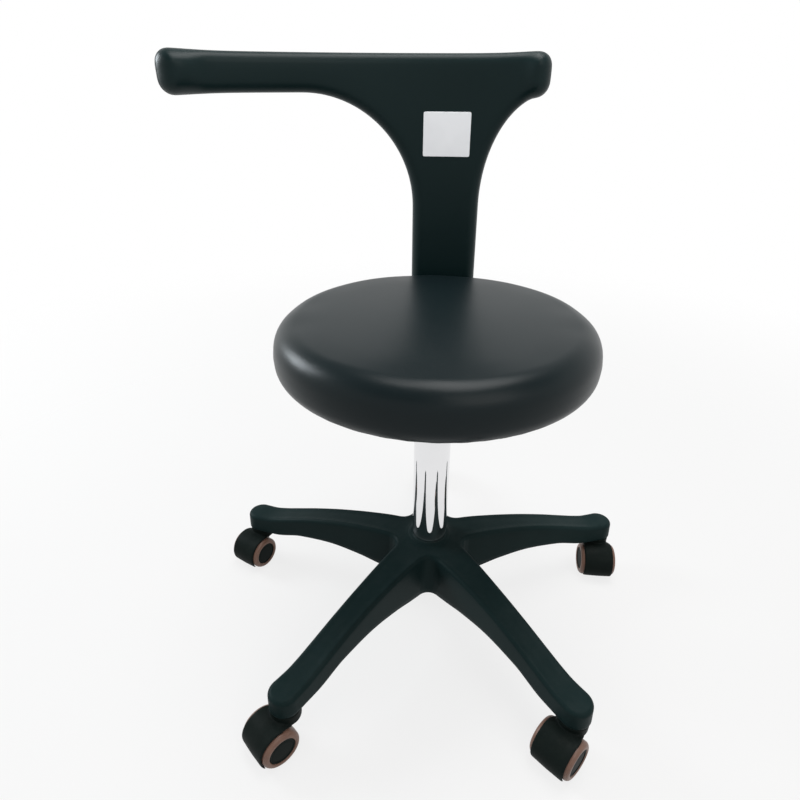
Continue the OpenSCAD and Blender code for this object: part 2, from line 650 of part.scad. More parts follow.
// Steel T inside the moulding: an upright plate at the floor of the recess, and a curved flat bar
// along both wings
module back_frame_form(grow) {
    y = recess_y - frame_t;
    low = bolt_rows[1] - 20;
    translate([-frame_w / 2 - grow, y - grow, low - grow])
        cube([frame_w + 2 * grow, frame_t + grow, back_top_z - 30 - low + 2 * grow]);
    stops = [for (k = [0 : 12]) -arm_len + 40 - grow + k * (arm_len + lobe_len - 80 + 2 * grow) / 12];
    translate([0, 0, back_top_z - arm_depth / 2 - 10 - grow]) linear_extrude(height = 20 + 2 * grow)
        polygon(concat([for (p = stops) back_xy(p, frame_t / 2 + grow)],
            [for (k = [12 : -1 : 0]) back_xy(stops[k], -frame_t / 2 - grow)]));
}

module back_frame() color(STEEL) on_arm() difference() {
    back_frame_form(0);
    for (z = bolt_rows) translate([0, recess_y - 20, z]) rotate([-90, 0, 0]) cylinder(r = back_bolt_d / 2 + seat_fit, h = 30);
}

module back_pad() color(LEATHER) on_arm() difference() {
    back_solid();
    // Recess up the rear of the stem for the bar
    translate([-bar_w / 2 - 1, recess_y - seat_fit, stem_bottom - 10])
        cube([bar_w + 2, 40, bar_top_z + 2 - stem_bottom + 10]);
    back_frame_form(seat_fit);
    for (z = bolt_rows) translate([0, recess_y - 12, z]) rotate([-90, 0, 0]) cylinder(r = back_bolt_d / 2 + 0.5, h = 30);
}

module back_bolts() color(STEEL) on_arm() for (z = bolt_rows) translate([0, recess_y + bar_t + seat_fit, z]) rotate([-90, 0, 0]) {
    ring(back_bolt_d, back_bolt_d / 2 + 0.1, 1.2);
    difference() {
        translate([0, 0, 1.25]) cylinder(r = 6.5, h = 4.5);
        translate([0, 0, 3]) cylinder(r = 2.9, h = 4, $fn = 6);
    }
    translate([0, 0, -bar_t - 9]) cylinder(d = back_bolt_d, h = bar_t + 10.5);
}

// Bare metal plate on the front of the stem, rolled to the same curve
module blank_plate() color(CHROME) on_arm() {
    face_r = back_curve_r - back_t / 2;
    intersection() {
        translate([-plate_w / 2, back_front_y - 10, plate_z - plate_h / 2]) cube([plate_w, 20, plate_h]);
        translate([0, back_mid_y - back_curve_r, plate_z - plate_h])
            ring(face_r - plate_gap, face_r - plate_gap - plate_t, 2 * plate_h);
    }
}

// ---------------------------------------------------------------- castors

module castor_hood() difference() {
    union() {
        on_axle(-hood_half_w, hood_half_w, hood_out_r);
        translate([0, 0, stem_bottom_z - 6]) cylinder(r = hood_boss_r, h = hood_top_z - stem_bottom_z + 6);
    }
    // Room for the wheels on each side of the web
    on_axle(fork_w / 2, 60, hood_in_r);
    on_axle(-60, -fork_w / 2, hood_in_r);
    // Underside: open below the hood's lip
    translate([-60, -60, -60]) cube([200, 120, 60 + hood_lip_z]);
    translate([-60, -60, -1]) cube([60 + trail - hood_in_r + 8, 120, stem_bottom_z - 5]);
    translate([trail, 0, axle_z]) rotate([90, 0, 0]) cylinder(r = axle_d / 2 + seat_fit, h = 60, center = true);
    translate([0, 0, stem_bottom_z - 1]) cylinder(r = stem_d / 2 + run_fit, h = 60);
}

module castor_axle() translate([trail, 0, axle_z]) rotate([90, 0, 0])
    cylinder(d = axle_d, h = 2 * wheel_out - 8, center = true);

// Wheel core: hub, outer disc and rim, turned about the axle
module wheel_core() translate([trail, 0, axle_z]) rotate([90, 0, 0]) rotate_extrude() polygon([
    [axle_d / 2 + run_fit, wheel_in], [axle_d / 2 + 3.5, wheel_in], [axle_d / 2 + 3.5, wheel_out - 4.5],
    [core_r - 2.5, wheel_out - 4.5], [core_r - 2.5, wheel_in], [core_r, wheel_in], [core_r, wheel_out - 3],
    [face_r, wheel_out - 3], [face_r, wheel_out - 1], [face_r - 2, wheel_out - 1.6], [0, wheel_out - 1],
    [0, wheel_out - 3], [axle_d / 2 + run_fit, wheel_out - 3]]);

module wheel_tread() translate([trail, 0, axle_z]) rotate([90, 0, 0]) rotate_extrude() polygon(concat(
    [[core_r + seat_fit, wheel_in], [wheel_r - 1, wheel_in], [wheel_r, wheel_in + 1]],
    [for (a = [0 : 15 : 90]) [wheel_r - 3 + 3 * cos(a), wheel_out - 3 + 3 * sin(a)]],
    [for (a = [90 : 30 : 180]) [face_r + 1.5 + seat_fit + 1.5 * cos(a), wheel_out - 1.5 + 1.5 * sin(a)]],
    [[face_r + seat_fit, wheel_out - 3 + seat_fit], [core_r + seat_fit, wheel_out - 3 + seat_fit]]));

// ---------------------------------------------------------------- nodes

star_base();
column_tube();
guide_bush();
caster_stems();
piston_rod();
bearing_race();
rubber_buffer();
rod_clip();
ball_cage();
gas_cylinder();
taper_socket();
mechanism_pan();
seat_board();
seat_foam();
seat_cover();
dust_cover();
seat_bolts();
tee_nuts();
lever_pivot();
collar_circlip();
valve_pin();
lever_rod();
lever_grip();
arm_collar();
collar_bush();
arm_bar();
back_frame();
back_pad();
back_bolts();
blank_plate();
for (i = LEGS) {
    color(NYLON) on_castor(i) castor_hood();
    color(STEEL) on_castor(i) castor_axle();
    for (s = SIDES) {
        color(NYLON) on_castor(i) wheel_side(s) wheel_core();
        color(BROWN) on_castor(i) wheel_side(s) wheel_tread();
    }
}
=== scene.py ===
# %% [markdown]
# # A dentist's stool
# A dentist's stool is a round padded seat on a gas lift, over a five-legged base on castors, with a
# back whose long arm swings round to prop the elbow. The engineering model gives every size and
# every joint, so this lesson only makes the surfaces that people see and touch. Everything is in
# metres, +Z up, and the sitter faces -Y.

# %% Load the frame
import json
import math

import bmesh
import bpy
import numpy as np
from mathutils import Matrix, Vector
from mathutils.geometry import delaunay_2d_cdt


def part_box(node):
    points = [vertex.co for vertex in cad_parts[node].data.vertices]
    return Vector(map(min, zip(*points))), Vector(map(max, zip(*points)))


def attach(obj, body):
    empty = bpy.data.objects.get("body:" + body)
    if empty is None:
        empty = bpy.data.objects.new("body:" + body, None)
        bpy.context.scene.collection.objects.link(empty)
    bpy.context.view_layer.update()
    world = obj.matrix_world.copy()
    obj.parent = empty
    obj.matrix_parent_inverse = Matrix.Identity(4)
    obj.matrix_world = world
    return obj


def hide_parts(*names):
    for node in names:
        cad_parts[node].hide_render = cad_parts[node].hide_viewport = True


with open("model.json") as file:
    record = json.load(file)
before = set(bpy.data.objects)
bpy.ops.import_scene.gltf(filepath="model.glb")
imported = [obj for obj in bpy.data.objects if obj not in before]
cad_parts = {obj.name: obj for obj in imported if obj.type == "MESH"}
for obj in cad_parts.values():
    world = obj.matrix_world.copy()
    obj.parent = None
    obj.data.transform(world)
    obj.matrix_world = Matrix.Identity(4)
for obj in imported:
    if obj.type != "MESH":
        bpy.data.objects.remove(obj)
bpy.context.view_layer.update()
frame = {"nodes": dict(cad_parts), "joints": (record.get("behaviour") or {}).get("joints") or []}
joints = {j["name"]: j for j in frame["joints"]}
column = Vector(joints["seat_swivel"]["pos_m"][:2] + [0.0])
print("column stands at", [round(v, 4) for v in column], "of", len(frame["nodes"]), "nodes")

# %% [markdown]
# ## Materials from shared effects
# Moulded nylon, vinyl leather and powder coat differ in colour, but they share the same kinds of
# small detail: a fine grain pressed in by the mould, and patches that are a little duller where
# hands and cloths have been. One could paint each of these on an image. Procedural noise is used
# instead, because it has no resolution limit and needs no unwrapping. Each effect is a node group
# with named inputs, so that every material places the same group with its own values.

# %% Node helpers
FLOAT, VECTOR = "NodeSocketFloat", "NodeSocketVector"


def feed(tree, socket, value):
    """Fills an input: with a link if the value is a node's output, else with the plain value."""
    if isinstance(value, bpy.types.NodeSocket):
        tree.links.new(value, socket)
    else:
        socket.default_value = value


def add_node(tree, kind, *ordered, **named):
    """Adds a node, sets its plain properties, then fills its inputs by order and by name."""
    node = tree.nodes.new(kind)
    inputs = {name: value for name, value in named.items() if not hasattr(node, name)}
    for name in named.keys() - inputs.keys():
        setattr(node, name, named[name])
    for socket, value in zip(node.inputs, ordered):
        feed(tree, socket, value)
    for name, value in inputs.items():
        feed(tree, node.inputs[name.replace("_", " ")], value)
    return node


def maths(tree, operation, *operands, **named):
    """The result of a Math node; each operand is a number or a node's output."""
    return add_node(tree, "ShaderNodeMath", *operands, operation=operation, **named).outputs[0]


def ramp(tree, value, low, high, **named):
    """Where a value lies between low and high, from 0 to 1."""
    return add_node(tree, "ShaderNodeMapRange", value, low, high, **named).outputs["Result"]


def mix_colour(tree, share, first, second):
    """Two colours mixed by a share; each is a plain colour or a node's output."""
    mixed = add_node(tree, "ShaderNodeMix", data_type="RGBA")
    for index, value in ((0, share), (6, first), (7, second)):
        feed(tree, mixed.inputs[index], value)
    return mixed.outputs[2]


def start_group(name, inputs, outputs):
    """An empty shader group with named sockets: the group, its given values and its results."""
    group = bpy.data.node_groups.new(name, "ShaderNodeTree")
    for label, kind, value in inputs:
        socket = group.interface.new_socket(label, in_out="INPUT", socket_type=kind)
        if value is not None:
            socket.default_value = value
    for label, kind in outputs:
        group.interface.new_socket(label, in_out="OUTPUT", socket_type=kind)
    given, out = group.nodes.new("NodeGroupInput"), group.nodes.new("NodeGroupOutput")
    return group, given.outputs, out.inputs


print("helpers ready")

# %% [markdown]
# ### Pebble grain
# Vinyl leather and textured nylon both carry small raised cells. Voronoi noise gives the cells,
# and a second, finer noise breaks them up so that they don't read as a honeycomb. The group puts
# out a height for a Bump node.

# %% Pebble grain group
def make_pebble_grain():
    group, given, out = start_group(
        "Pebble grain",
        [("Vector", VECTOR, None), ("Cell Size", FLOAT, 0.0012), ("Break Up", FLOAT, 0.5)],
        [("Height", FLOAT)],
    )
    finer = 2.6
    scale = maths(group, "DIVIDE", 1.0, given["Cell Size"])
    cells = add_node(group, "ShaderNodeTexVoronoi", feature="SMOOTH_F1", Smoothness=0.35,
                     Vector=given["Vector"], Scale=scale)
    fine = add_node(group, "ShaderNodeTexNoise", Detail=3.0, Vector=given["Vector"],
                    Scale=maths(group, "MULTIPLY", scale, finer))
    share = maths(group, "MULTIPLY", fine.outputs["Fac"], given["Break Up"])
    feed(group, out["Height"], maths(group, "SUBTRACT", share, cells.outputs["Distance"]))
    return group


pebble_grain = make_pebble_grain()
print("group:", pebble_grain.name)

# %% [markdown]
# ### Handling marks
# Nothing in a clinic is evenly glossy: it is wiped, leaned on and rubbed. This group makes soft
# patches for roughness and sparse fine scratches, both from object coordinates, so the marks stay
# on the piece when it moves.

# %% Handling marks group
def make_handling_marks():
    group, given, out = start_group(
        "Handling marks",
        [("Vector", VECTOR, None), ("Patch Size", FLOAT, 0.06), ("Amount", FLOAT, 0.1)],
        [("Patches", FLOAT), ("Scratches", FLOAT)],
    )
    cloud = add_node(group, "ShaderNodeTexNoise", Detail=4.0, Roughness=0.6,
                     Vector=given["Vector"], Scale=maths(group, "DIVIDE", 1.0, given["Patch Size"]))
    centred = maths(group, "SUBTRACT", cloud.outputs["Fac"], 0.5)
    feed(group, out["Patches"], maths(group, "MULTIPLY", centred, given["Amount"]))
    # Noise stretched far more one way than the others reads as hair-fine lines
    stretch = add_node(group, "ShaderNodeMapping", Vector=given["Vector"],
                       Rotation=(0.3, 0.5, 0.9), Scale=(900.0, 60.0, 140.0))
    hair = add_node(group, "ShaderNodeTexNoise", Scale=1.0, Detail=2.0,
                    Vector=stretch.outputs["Vector"])
    feed(group, out["Scratches"], ramp(group, hair.outputs["Fac"], 0.68, 0.76))
    return group


handling_marks = make_handling_marks()
print("group:", handling_marks.name)

# %% [markdown]
# ### Settled dust
# Dust lies on faces that look up and in the corners of noise. The face's own direction is enough
# to find them: the group turns the normal's Z into a mask and breaks it up.

# %% Settled dust group
def make_settled_dust():
    group, given, out = start_group(
        "Settled dust",
        [("Vector", VECTOR, None), ("Amount", FLOAT, 0.1)],
        [("Mask", FLOAT)],
    )
    facing = add_node(group, "ShaderNodeNewGeometry")
    split = add_node(group, "ShaderNodeSeparateXYZ", facing.outputs["Normal"])
    upward = ramp(group, split.outputs["Z"], 0.35, 1.0)
    specks = add_node(group, "ShaderNodeTexNoise", Scale=55.0, Detail=6.0, Roughness=0.7,
                      Vector=given["Vector"])
    clumps = ramp(group, specks.outputs["Fac"], 0.42, 0.78)
    both = maths(group, "MULTIPLY", upward, clumps)
    feed(group, out["Mask"], maths(group, "MULTIPLY", both, given["Amount"]))
    return group


settled_dust = make_settled_dust()
print("group:", settled_dust.name)

# %% [markdown]
# ### Edge wear
# Raised edges are rubbed first, by shoes on the base and by hands on the lever. The geometry's
# pointiness is high along such edges, and noise makes the wear uneven, so that it comes and goes
# as real wear does.

# %% Edge wear group
def make_edge_wear():
    group, given, out = start_group(
        "Edge wear",
        [("Vector", VECTOR, None), ("Low", FLOAT, 0.52), ("High", FLOAT, 0.60),
         ("Amount", FLOAT, 0.3)],
        [("Mask", FLOAT)],
    )
    shape = add_node(group, "ShaderNodeNewGeometry")
    raised = ramp(group, shape.outputs["Pointiness"], given["Low"], given["High"])
    uneven = add_node(group, "ShaderNodeTexNoise", Scale=38.0, Detail=5.0, Roughness=0.65,
                      Vector=given["Vector"])
    both = maths(group, "MULTIPLY", raised, uneven.outputs["Fac"])
    feed(group, out["Mask"], maths(group, "MULTIPLY", both, given["Amount"], use_clamp=True))
    return group


edge_wear = make_edge_wear()
print("group:", edge_wear.name)

# %% [markdown]
# ### One recipe for every finish
# Each finish below is a Principled shader whose colour, roughness and bump come from the groups.
# The recipe takes the plain numbers that set one finish apart from another. Values that are the
# same all over the surface, such as metallic, specular and sheen, are typed straight into the
# shader.

# %% Finish recipe
DUST_COLOUR = (0.36, 0.35, 0.33, 1.0)


def blank_material(name):
    """A new material with an empty node tree."""
    made = bpy.data.materials.new(name)
    made.use_nodes = True
    made.node_tree.nodes.clear()
    return made, made.node_tree


def make_finish(name, colour, second, rough, metallic=0.0, cell=0.0012, depth=0.00004,
                break_up=0.5, patch=0.06, patch_amount=0.12, dust=0.0, scratch=0.0,
                brushed=None, specular=0.5, sheen=0.0, worn_edge=0.0):
    """A procedural finish. Soft patches mix colour and second; cell and depth are in metres."""
    made, tree = blank_material(name)
    place = add_node(tree, "ShaderNodeTexCoord").outputs["Object"]

    def effect(group, **values):
        return add_node(tree, "ShaderNodeGroup", node_tree=group, Vector=place, **values).outputs

    # Roughness: the plain value, moved by the patches and raised by scratches
    marks = effect(handling_marks, Patch_Size=patch, Amount=patch_amount)
    roughness = maths(tree, "MULTIPLY_ADD", marks["Scratches"], scratch,
                      maths(tree, "ADD", marks["Patches"], rough), use_clamp=True)
    # Colour: two shades mixed by larger clouds, then paler edges, then dust
    cloud = add_node(tree, "ShaderNodeTexNoise", Detail=3.0, Vector=place,
                     Scale=1.0 / (patch * 1.7))
    shade = mix_colour(tree, ramp(tree, cloud.outputs["Fac"], 0.35, 0.65),
                       (*colour, 1.0), (*second, 1.0))
    if worn_edge:
        paler = (*[min(1.0, 2.2 * v + 0.02) for v in colour], 1.0)
        shade = mix_colour(tree, effect(edge_wear, Amount=worn_edge)["Mask"], shade, paler)
    if dust:
        shade = mix_colour(tree, effect(settled_dust, Amount=dust)["Mask"], shade, DUST_COLOUR)
    # Height: pebble grain, or drawn lines where the metal is brushed
    if brushed:
        lines = add_node(tree, "ShaderNodeMapping", Vector=place, Scale=brushed)
        height = add_node(tree, "ShaderNodeTexNoise", Scale=1.0, Detail=4.0, Roughness=0.75,
                          Vector=lines.outputs["Vector"]).outputs["Fac"]
    else:
        height = effect(pebble_grain, Cell_Size=cell, Break_Up=break_up)["Height"]
    bump = add_node(tree, "ShaderNodeBump", Strength=1.0, Distance=depth, Height=height)
    shader = add_node(tree, "ShaderNodeBsdfPrincipled", Base_Color=shade, Roughness=roughness,
                      Metallic=metallic, Specular_IOR_Level=specular, Sheen_Weight=sheen,
                      Normal=bump.outputs["Normal"])
    add_node(tree, "ShaderNodeOutputMaterial", Surface=shader.outputs[0])
    return made


print("finish recipe ready")

# %% [markdown]
# ### The finishes
# The blacks of this stool are not pure black: the nylon and the vinyl both lean to a dark
# blue-green. The tread rings are a rose-brown polyurethane, and the lift tube is hard chrome.

# %% Finishes
nylon = make_finish("base_nylon", (0.0078, 0.0180, 0.0182), (0.0098, 0.0214, 0.0214), 0.45,
                    cell=0.0007, depth=0.00003, dust=0.012, scratch=0.10, specular=0.05,
                    worn_edge=0.5)
castor_nylon = make_finish("castor_nylon", (0.0066, 0.0100, 0.0090), (0.0082, 0.0122, 0.0110),
                           0.50, cell=0.0006, depth=0.00003, dust=0.02, scratch=0.12, patch=0.03,
                           specular=0.04, worn_edge=0.4)
tread_rubber = make_finish("tread_rubber", (0.165, 0.086, 0.060), (0.200, 0.108, 0.076), 0.38,
                           cell=0.0009, depth=0.00002, patch=0.02, scratch=0.10, dust=0.06,
                           specular=0.35)
vinyl = make_finish("seat_vinyl", (0.0048, 0.0102, 0.0118), (0.0058, 0.0118, 0.0134), 0.33,
                    cell=0.00105, depth=0.00004, break_up=0.8, patch=0.14, patch_amount=0.05,
                    specular=0.16)
skin_foam = make_finish("back_skin", (0.0052, 0.0162, 0.0168), (0.0068, 0.0190, 0.0198), 0.40,
                        cell=0.0010, depth=0.00004, break_up=0.7, patch=0.12, patch_amount=0.06,
                        specular=0.13)
chrome = make_finish("chrome", (0.80, 0.80, 0.81), (0.84, 0.84, 0.85), 0.045, metallic=1.0,
                     cell=0.0009, depth=0.000002, patch_amount=0.05, scratch=0.12)
steel = make_finish("bright_steel", (0.50, 0.51, 0.52), (0.60, 0.60, 0.61), 0.28, metallic=1.0,
                    patch=0.02, brushed=(900.0, 900.0, 60.0), depth=0.00002)
powder_coat = make_finish("powder_coat", (0.012, 0.013, 0.014), (0.016, 0.017, 0.018), 0.42,
                          cell=0.0014, depth=0.00006, patch=0.04, scratch=0.12, dust=0.03,
                          specular=0.35, worn_edge=0.6)
black_plastic = make_finish("black_plastic", (0.015, 0.016, 0.017), (0.021, 0.022, 0.023), 0.45,
                            cell=0.0008, depth=0.00004, patch=0.03)
acetal = make_finish("acetal", (0.74, 0.73, 0.68), (0.80, 0.79, 0.75), 0.35, patch=0.02)
brass = make_finish("brass", (0.66, 0.47, 0.20), (0.74, 0.55, 0.26), 0.25, metallic=1.0,
                    patch=0.01)
plywood = make_finish("plywood", (0.50, 0.34, 0.19), (0.60, 0.43, 0.26), 0.6,
                      brushed=(18.0, 300.0, 2500.0), depth=0.0002)
foam = make_finish("foam", (0.72, 0.64, 0.42), (0.78, 0.70, 0.50), 0.9, cell=0.0016,
                   depth=0.0006, sheen=0.2)
lining = make_finish("dust_lining", (0.028, 0.028, 0.030), (0.040, 0.040, 0.042), 0.85,
                     cell=0.0022, depth=0.00025, break_up=1.2, sheen=0.25)
rubber = make_finish("buffer_rubber", (0.020, 0.020, 0.020), (0.028, 0.028, 0.028), 0.7)
plate_metal = make_finish("plate_metal", (0.80, 0.81, 0.83), (0.86, 0.87, 0.89), 0.36,
                          metallic=0.70, patch=0.03, brushed=(60.0, 900.0, 900.0), depth=0.00002)
print(len(bpy.data.materials), "materials")

# %% [markdown]
# ## Mesh helpers
# Nearly every piece here is one of three kinds: turned on an axis, swept along a path, or cut to
# an outline with rounded edges. A turned piece needs a profile, a swept piece needs a row of
# sections, and each helper below makes one kind from plain lists of points.

# %% Make a piece
def make_piece(name, verts, faces, material, body, stands_for=(), slot=None, sharp=38.0):
    """Turns lists into a closed smooth mesh object that rides on a body."""
    mesh = bpy.data.meshes.new(name)
    mesh.from_pydata([tuple(v) for v in verts], [], [tuple(f) for f in faces])
    work = bmesh.new()
    work.from_mesh(mesh)
    bmesh.ops.remove_doubles(work, verts=work.verts, dist=1e-6)
    bmesh.ops.recalc_face_normals(work, faces=work.faces)
    work.to_mesh(mesh)
    work.free()
    mesh.polygons.foreach_set("use_smooth", [True] * len(mesh.polygons))
    mesh.set_sharp_from_angle(angle=math.radians(sharp))
    piece = bpy.data.objects.new(name, mesh)
    bpy.context.scene.collection.objects.link(piece)
    finish_piece(piece, material, body, stands_for, slot)
    return piece


def finish_piece(piece, material, body, stands_for=(), slot=None):
    """Gives a piece its material and its body, and hides the nodes that it stands for; slot is not
    used.
    """
    piece.data.materials.clear()
    piece.data.materials.append(material)
    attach(piece, body)
    if stands_for:
        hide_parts(*stands_for)
    return piece


# %% [markdown]
# A turned piece is a profile of (radius, height) points carried round the axis. Where the profile
# meets the axis the ring shrinks to one point, and doubles are merged afterwards. A swept piece is
# a list of rings that all have the same number of points.

# %% Turn and sweep
def band(n, *corners):
    """Quads round two rows of n points. A corner is its row's first index and 0 or 1 step on."""
    return [tuple(row + (j + step) % n for row, step in corners) for j in range(n)]


def row_band(n, low, high):
    """The usual band, from a lower row up to a higher one."""
    return band(n, (low, 0), (low, 1), (high, 1), (high, 0))


def skin_rings(rings, ends=True, loop=False):
    """Quads between rings of equal length; ends closes the first and last ring with a fan."""
    n = len(rings[0])
    verts = [tuple(p) for ring in rings for p in ring]
    faces = []
    count = len(rings)
    for i in range(count if loop else count - 1):
        faces += row_band(n, i * n, (i + 1) % count * n)
    if ends and not loop:
        for i, flip in ((0, True), (count - 1, False)):
            middle = np.mean(np.array(rings[i], float), axis=0)
            verts.append(tuple(middle))
            c = len(verts) - 1
            for j in range(n):
                m = (j + 1) % n
                faces.append((c, i * n + m, i * n + j) if flip else (c, i * n + j, i * n + m))
    return verts, faces


def turn_profile(profile, segments=96, closed=True):
    """Rings of a profile round +Z. closed joins the last profile point to the first."""
    angles = np.linspace(0, 2 * math.pi, segments, endpoint=False)
    rings = [[(r * math.cos(a), r * math.sin(a), z) for a in angles] for r, z in profile]
    return skin_rings(rings, ends=False, loop=closed)


def round_corner(before, corner, after, radius, steps=5):
    """Points of an arc that rounds a corner of a profile."""
    p, c, q = (np.array(v, float) for v in (before, corner, after))
    u, v = (p - c) / np.linalg.norm(p - c), (q - c) / np.linalg.norm(q - c)
    half = math.acos(max(-1.0, min(1.0, float(u @ v)))) / 2
    back = min(radius / math.tan(half), 0.49 * np.linalg.norm(p - c), 0.49 * np.linalg.norm(q - c))
    a, b = c + u * back, c + v * back
    centre = c + (u + v) / np.linalg.norm(u + v) * back / math.cos(half)
    points = []
    for t in np.linspace(0, 1, steps + 1):
        d = (a - centre) * (1 - t) + (b - centre) * t
        points.append(tuple(centre + d / np.linalg.norm(d) * np.linalg.norm(a - centre)))
    return points


def rounded(profile, radii, steps=5, closed=True):
    """A profile with each corner rounded by its own radius (0 leaves it sharp)."""
    out, n = [], len(profile)
    for i, radius in enumerate(radii):
        if radius <= 0 or (not closed and i in (0, n - 1)):
            out.append(tuple(profile[i]))
        else:
            out += round_corner(profile[i - 1], profile[i], profile[(i + 1) % n], radius, steps)
    return out


def placed(verts, matrix):
    return [tuple(matrix @ Vector(v)) for v in verts]


print("mesh helpers ready")

# %% [markdown]
# ### A slab cut to an outline
# The base and the back are both thick slabs: an outline, two faces and a rounded edge all round.
# One could model each with subdivision, but the outline would then only be near its true line.
# Here the outline's own points are stepped inwards in rings that climb the rounded edge, and the
# middle is filled by a Delaunay triangulation over an even grid. A map then bends the flat slab
# into place.

# %% Slab helper
def outline_normals(points):
    """Inward normals of a counter-clockwise outline."""
    p = np.array(points, float)
    t = np.roll(p, -1, axis=0) - np.roll(p, 1, axis=0)
    t /= np.linalg.norm(t, axis=1)[:, None]
    return np.stack([-t[:, 1], t[:, 0]], axis=1)


def distance_to_outline(q, points):
    """Distance of each point of q to the closed outline."""
    a = np.array(points, float)
    b = np.roll(a, -1, axis=0)
    q = np.array(q, float)
    best = np.full(len(q), 1e9)
    for s, e in zip(a, b):
        d = e - s
        t = np.clip(((q - s) @ d) / max(d @ d, 1e-18), 0, 1)
        best = np.minimum(best, np.linalg.norm(q - s - t[:, None] * d, axis=1))
    return best


def inside_outline(q, points):
    a = np.array(points, float)
    b = np.roll(a, -1, axis=0)
    x, y = q[:, 0][:, None], q[:, 1][:, None]
    crosses = ((a[:, 1] > y) != (b[:, 1] > y)) & (
        x < (b[:, 0] - a[:, 0]) * (y - a[:, 1]) / (b[:, 1] - a[:, 1] + 1e-18) + a[:, 0])
    return crosses.sum(axis=1) % 2 == 1


def fill_outline(ring, spacing):
    """Triangles over a closed ring, with an even grid of points inside. Ring points come first."""
    ring = np.array(ring, float)
    low, high = ring.min(0), ring.max(0)
    xs = np.arange(low[0], high[0], spacing)
    ys = np.arange(low[1], high[1], spacing * 0.866)
    grid = np.array([(x + (k % 2) * spacing / 2, y) for k, y in enumerate(ys) for x in xs])
    grid = grid[inside_outline(grid, ring)]
    grid = grid[distance_to_outline(grid, ring) > spacing * 0.55]
    points = np.vstack([ring, grid])
    edges = [(i, (i + 1) % len(ring)) for i in range(len(ring))]
    found = delaunay_2d_cdt([Vector(p) for p in points], edges, [], 1, 1e-7)
    coords, faces, origin = found[0], found[2], found[3]
    back_to, added = [], []
    for place, came_from in zip(coords, origin):
        back_to.append(came_from[0] if came_from else len(points) + len(added))
        if not came_from:
            added.append(tuple(place))
    if added:
        print("  the triangulation added", len(added), "points")
        points = np.vstack([points, added])
    return points, [tuple(back_to[i] for i in f) for f in faces]


print("slab helper ready")

# %% [markdown]
# ## The five-legged base
# The base is one nylon moulding. Its five legs flow into the hub with a soft corner between each
# pair, their tops are almost flat with a faint raised edge, and each ends in a round cap over its
# castor. Seen from above it is a smooth outline, and its height depends only on the distance from
# the column, so it is made as a slab: outline first, then a crown height for every point.

# %% Base outline
STEM_R = (Vector(joints["caster_1_swivel"]["pos_m"][:2] + [0.0]) - column).length
LEG_ANGLES = [math.radians(90 + 72 * i) for i in range(5)]
ROOT_HALF, CROTCH_R, CAP_R = 0.025, 0.015, 0.0200
half_width_at = ([0.052, 0.075, 0.100, 0.135, 0.180, 0.225, 0.255, 0.276, STEM_R],
                 [0.0250, 0.0236, 0.0222, 0.0206, 0.0194, 0.0189, 0.0190, 0.0195, CAP_R])


def smooth_table(x, xs, ys):
    """Monotone cubic through a table of values."""
    xs, ys = np.array(xs, float), np.array(ys, float)
    h = np.diff(xs)
    d = np.diff(ys) / h
    between = [0 if a * b <= 0 else 2 * a * b / (a + b) for a, b in zip(d, d[1:])]
    m = np.concatenate([[d[0]], between, [d[-1]]])
    x = np.clip(np.array(x, float), xs[0], xs[-1])
    i = np.clip(np.searchsorted(xs, x) - 1, 0, len(h) - 1)
    t = (x - xs[i]) / h[i]
    return ((2 * t**3 - 3 * t**2 + 1) * ys[i] + (t**3 - 2 * t**2 + t) * h[i] * m[i]
            + (3 * t**2 - 2 * t**3) * ys[i + 1] + (t**3 - t**2) * h[i] * m[i + 1])


def base_outline(step=0.0022):
    """The base's outline, counter-clockwise, round the column."""
    along = np.arange(0.0535, STEM_R, step)
    side = [(x, -smooth_table(x, *half_width_at)) for x in along]
    cap = [(STEM_R + CAP_R * math.cos(a), CAP_R * math.sin(a))
           for a in np.linspace(-math.pi / 2, math.pi / 2, 31)]
    leg = side + cap + [(x, -y) for x, y in reversed(side)]
    reach = (ROOT_HALF + CROTCH_R) / math.sin(math.radians(36))
    points = []
    for angle in LEG_ANGLES:
        c, s = math.cos(angle), math.sin(angle)
        points += [(x * c - y * s, x * s + y * c) for x, y in leg]
        middle = angle + math.radians(36)
        centre = (reach * math.cos(middle), reach * math.sin(middle))
        for t in np.linspace(math.radians(54), -math.radians(54), 15)[1:-1]:
            a = middle + math.pi + t
            points.append((centre[0] + CROTCH_R * math.cos(a), centre[1] + CROTCH_R * math.sin(a)))
    return points


star = base_outline()
print("base outline has", len(star), "points and reaches", round(max(p[1] for p in star), 4))

# %% [markdown]
# The crown and the underside are two tables of height against distance. Near the tube the hub
# rises in a small collar. The legs are hollow underneath, as a moulding of even wall must be, with
# cross ribs; so the underside is a rim, an inner wall and a ceiling.

# %% Base mesh
crown_at = ([0.0, 0.066, 0.105, 0.150, 0.195, 0.232, 0.256, 0.275, 0.320],
            [0.1295, 0.1290, 0.1258, 0.1192, 0.1095, 0.0995, 0.0930, 0.0893, 0.0878])
belly_at = ([0.0, 0.050, 0.075, 0.110, 0.160, 0.210, 0.262, 0.320],
            [0.0600, 0.0605, 0.0640, 0.0710, 0.0760, 0.0728, 0.0622, 0.0620])


def crown_height(p, d):
    """Top face: crown by radius, a shallow dish inside the edge, and a collar at the tube."""
    r = np.linalg.norm(np.array(p, float), axis=-1)
    dish = 0.0009 * np.clip((np.array(d) - 0.0045) / 0.005, 0, 1) ** 2
    dish = dish * np.clip((r - 0.035) / 0.03, 0, 1) * np.clip((STEM_R - 0.004 - r) / 0.03, 0, 1)
    dome = 0.0006 * np.clip((r - STEM_R + 0.012) / 0.012, 0, 1) * np.clip(np.array(d) / 0.012, 0, 1)
    collar = 0.0036 * np.exp(-((r - 0.024) / 0.0075) ** 2)
    return smooth_table(r, *crown_at) - dish + dome + collar


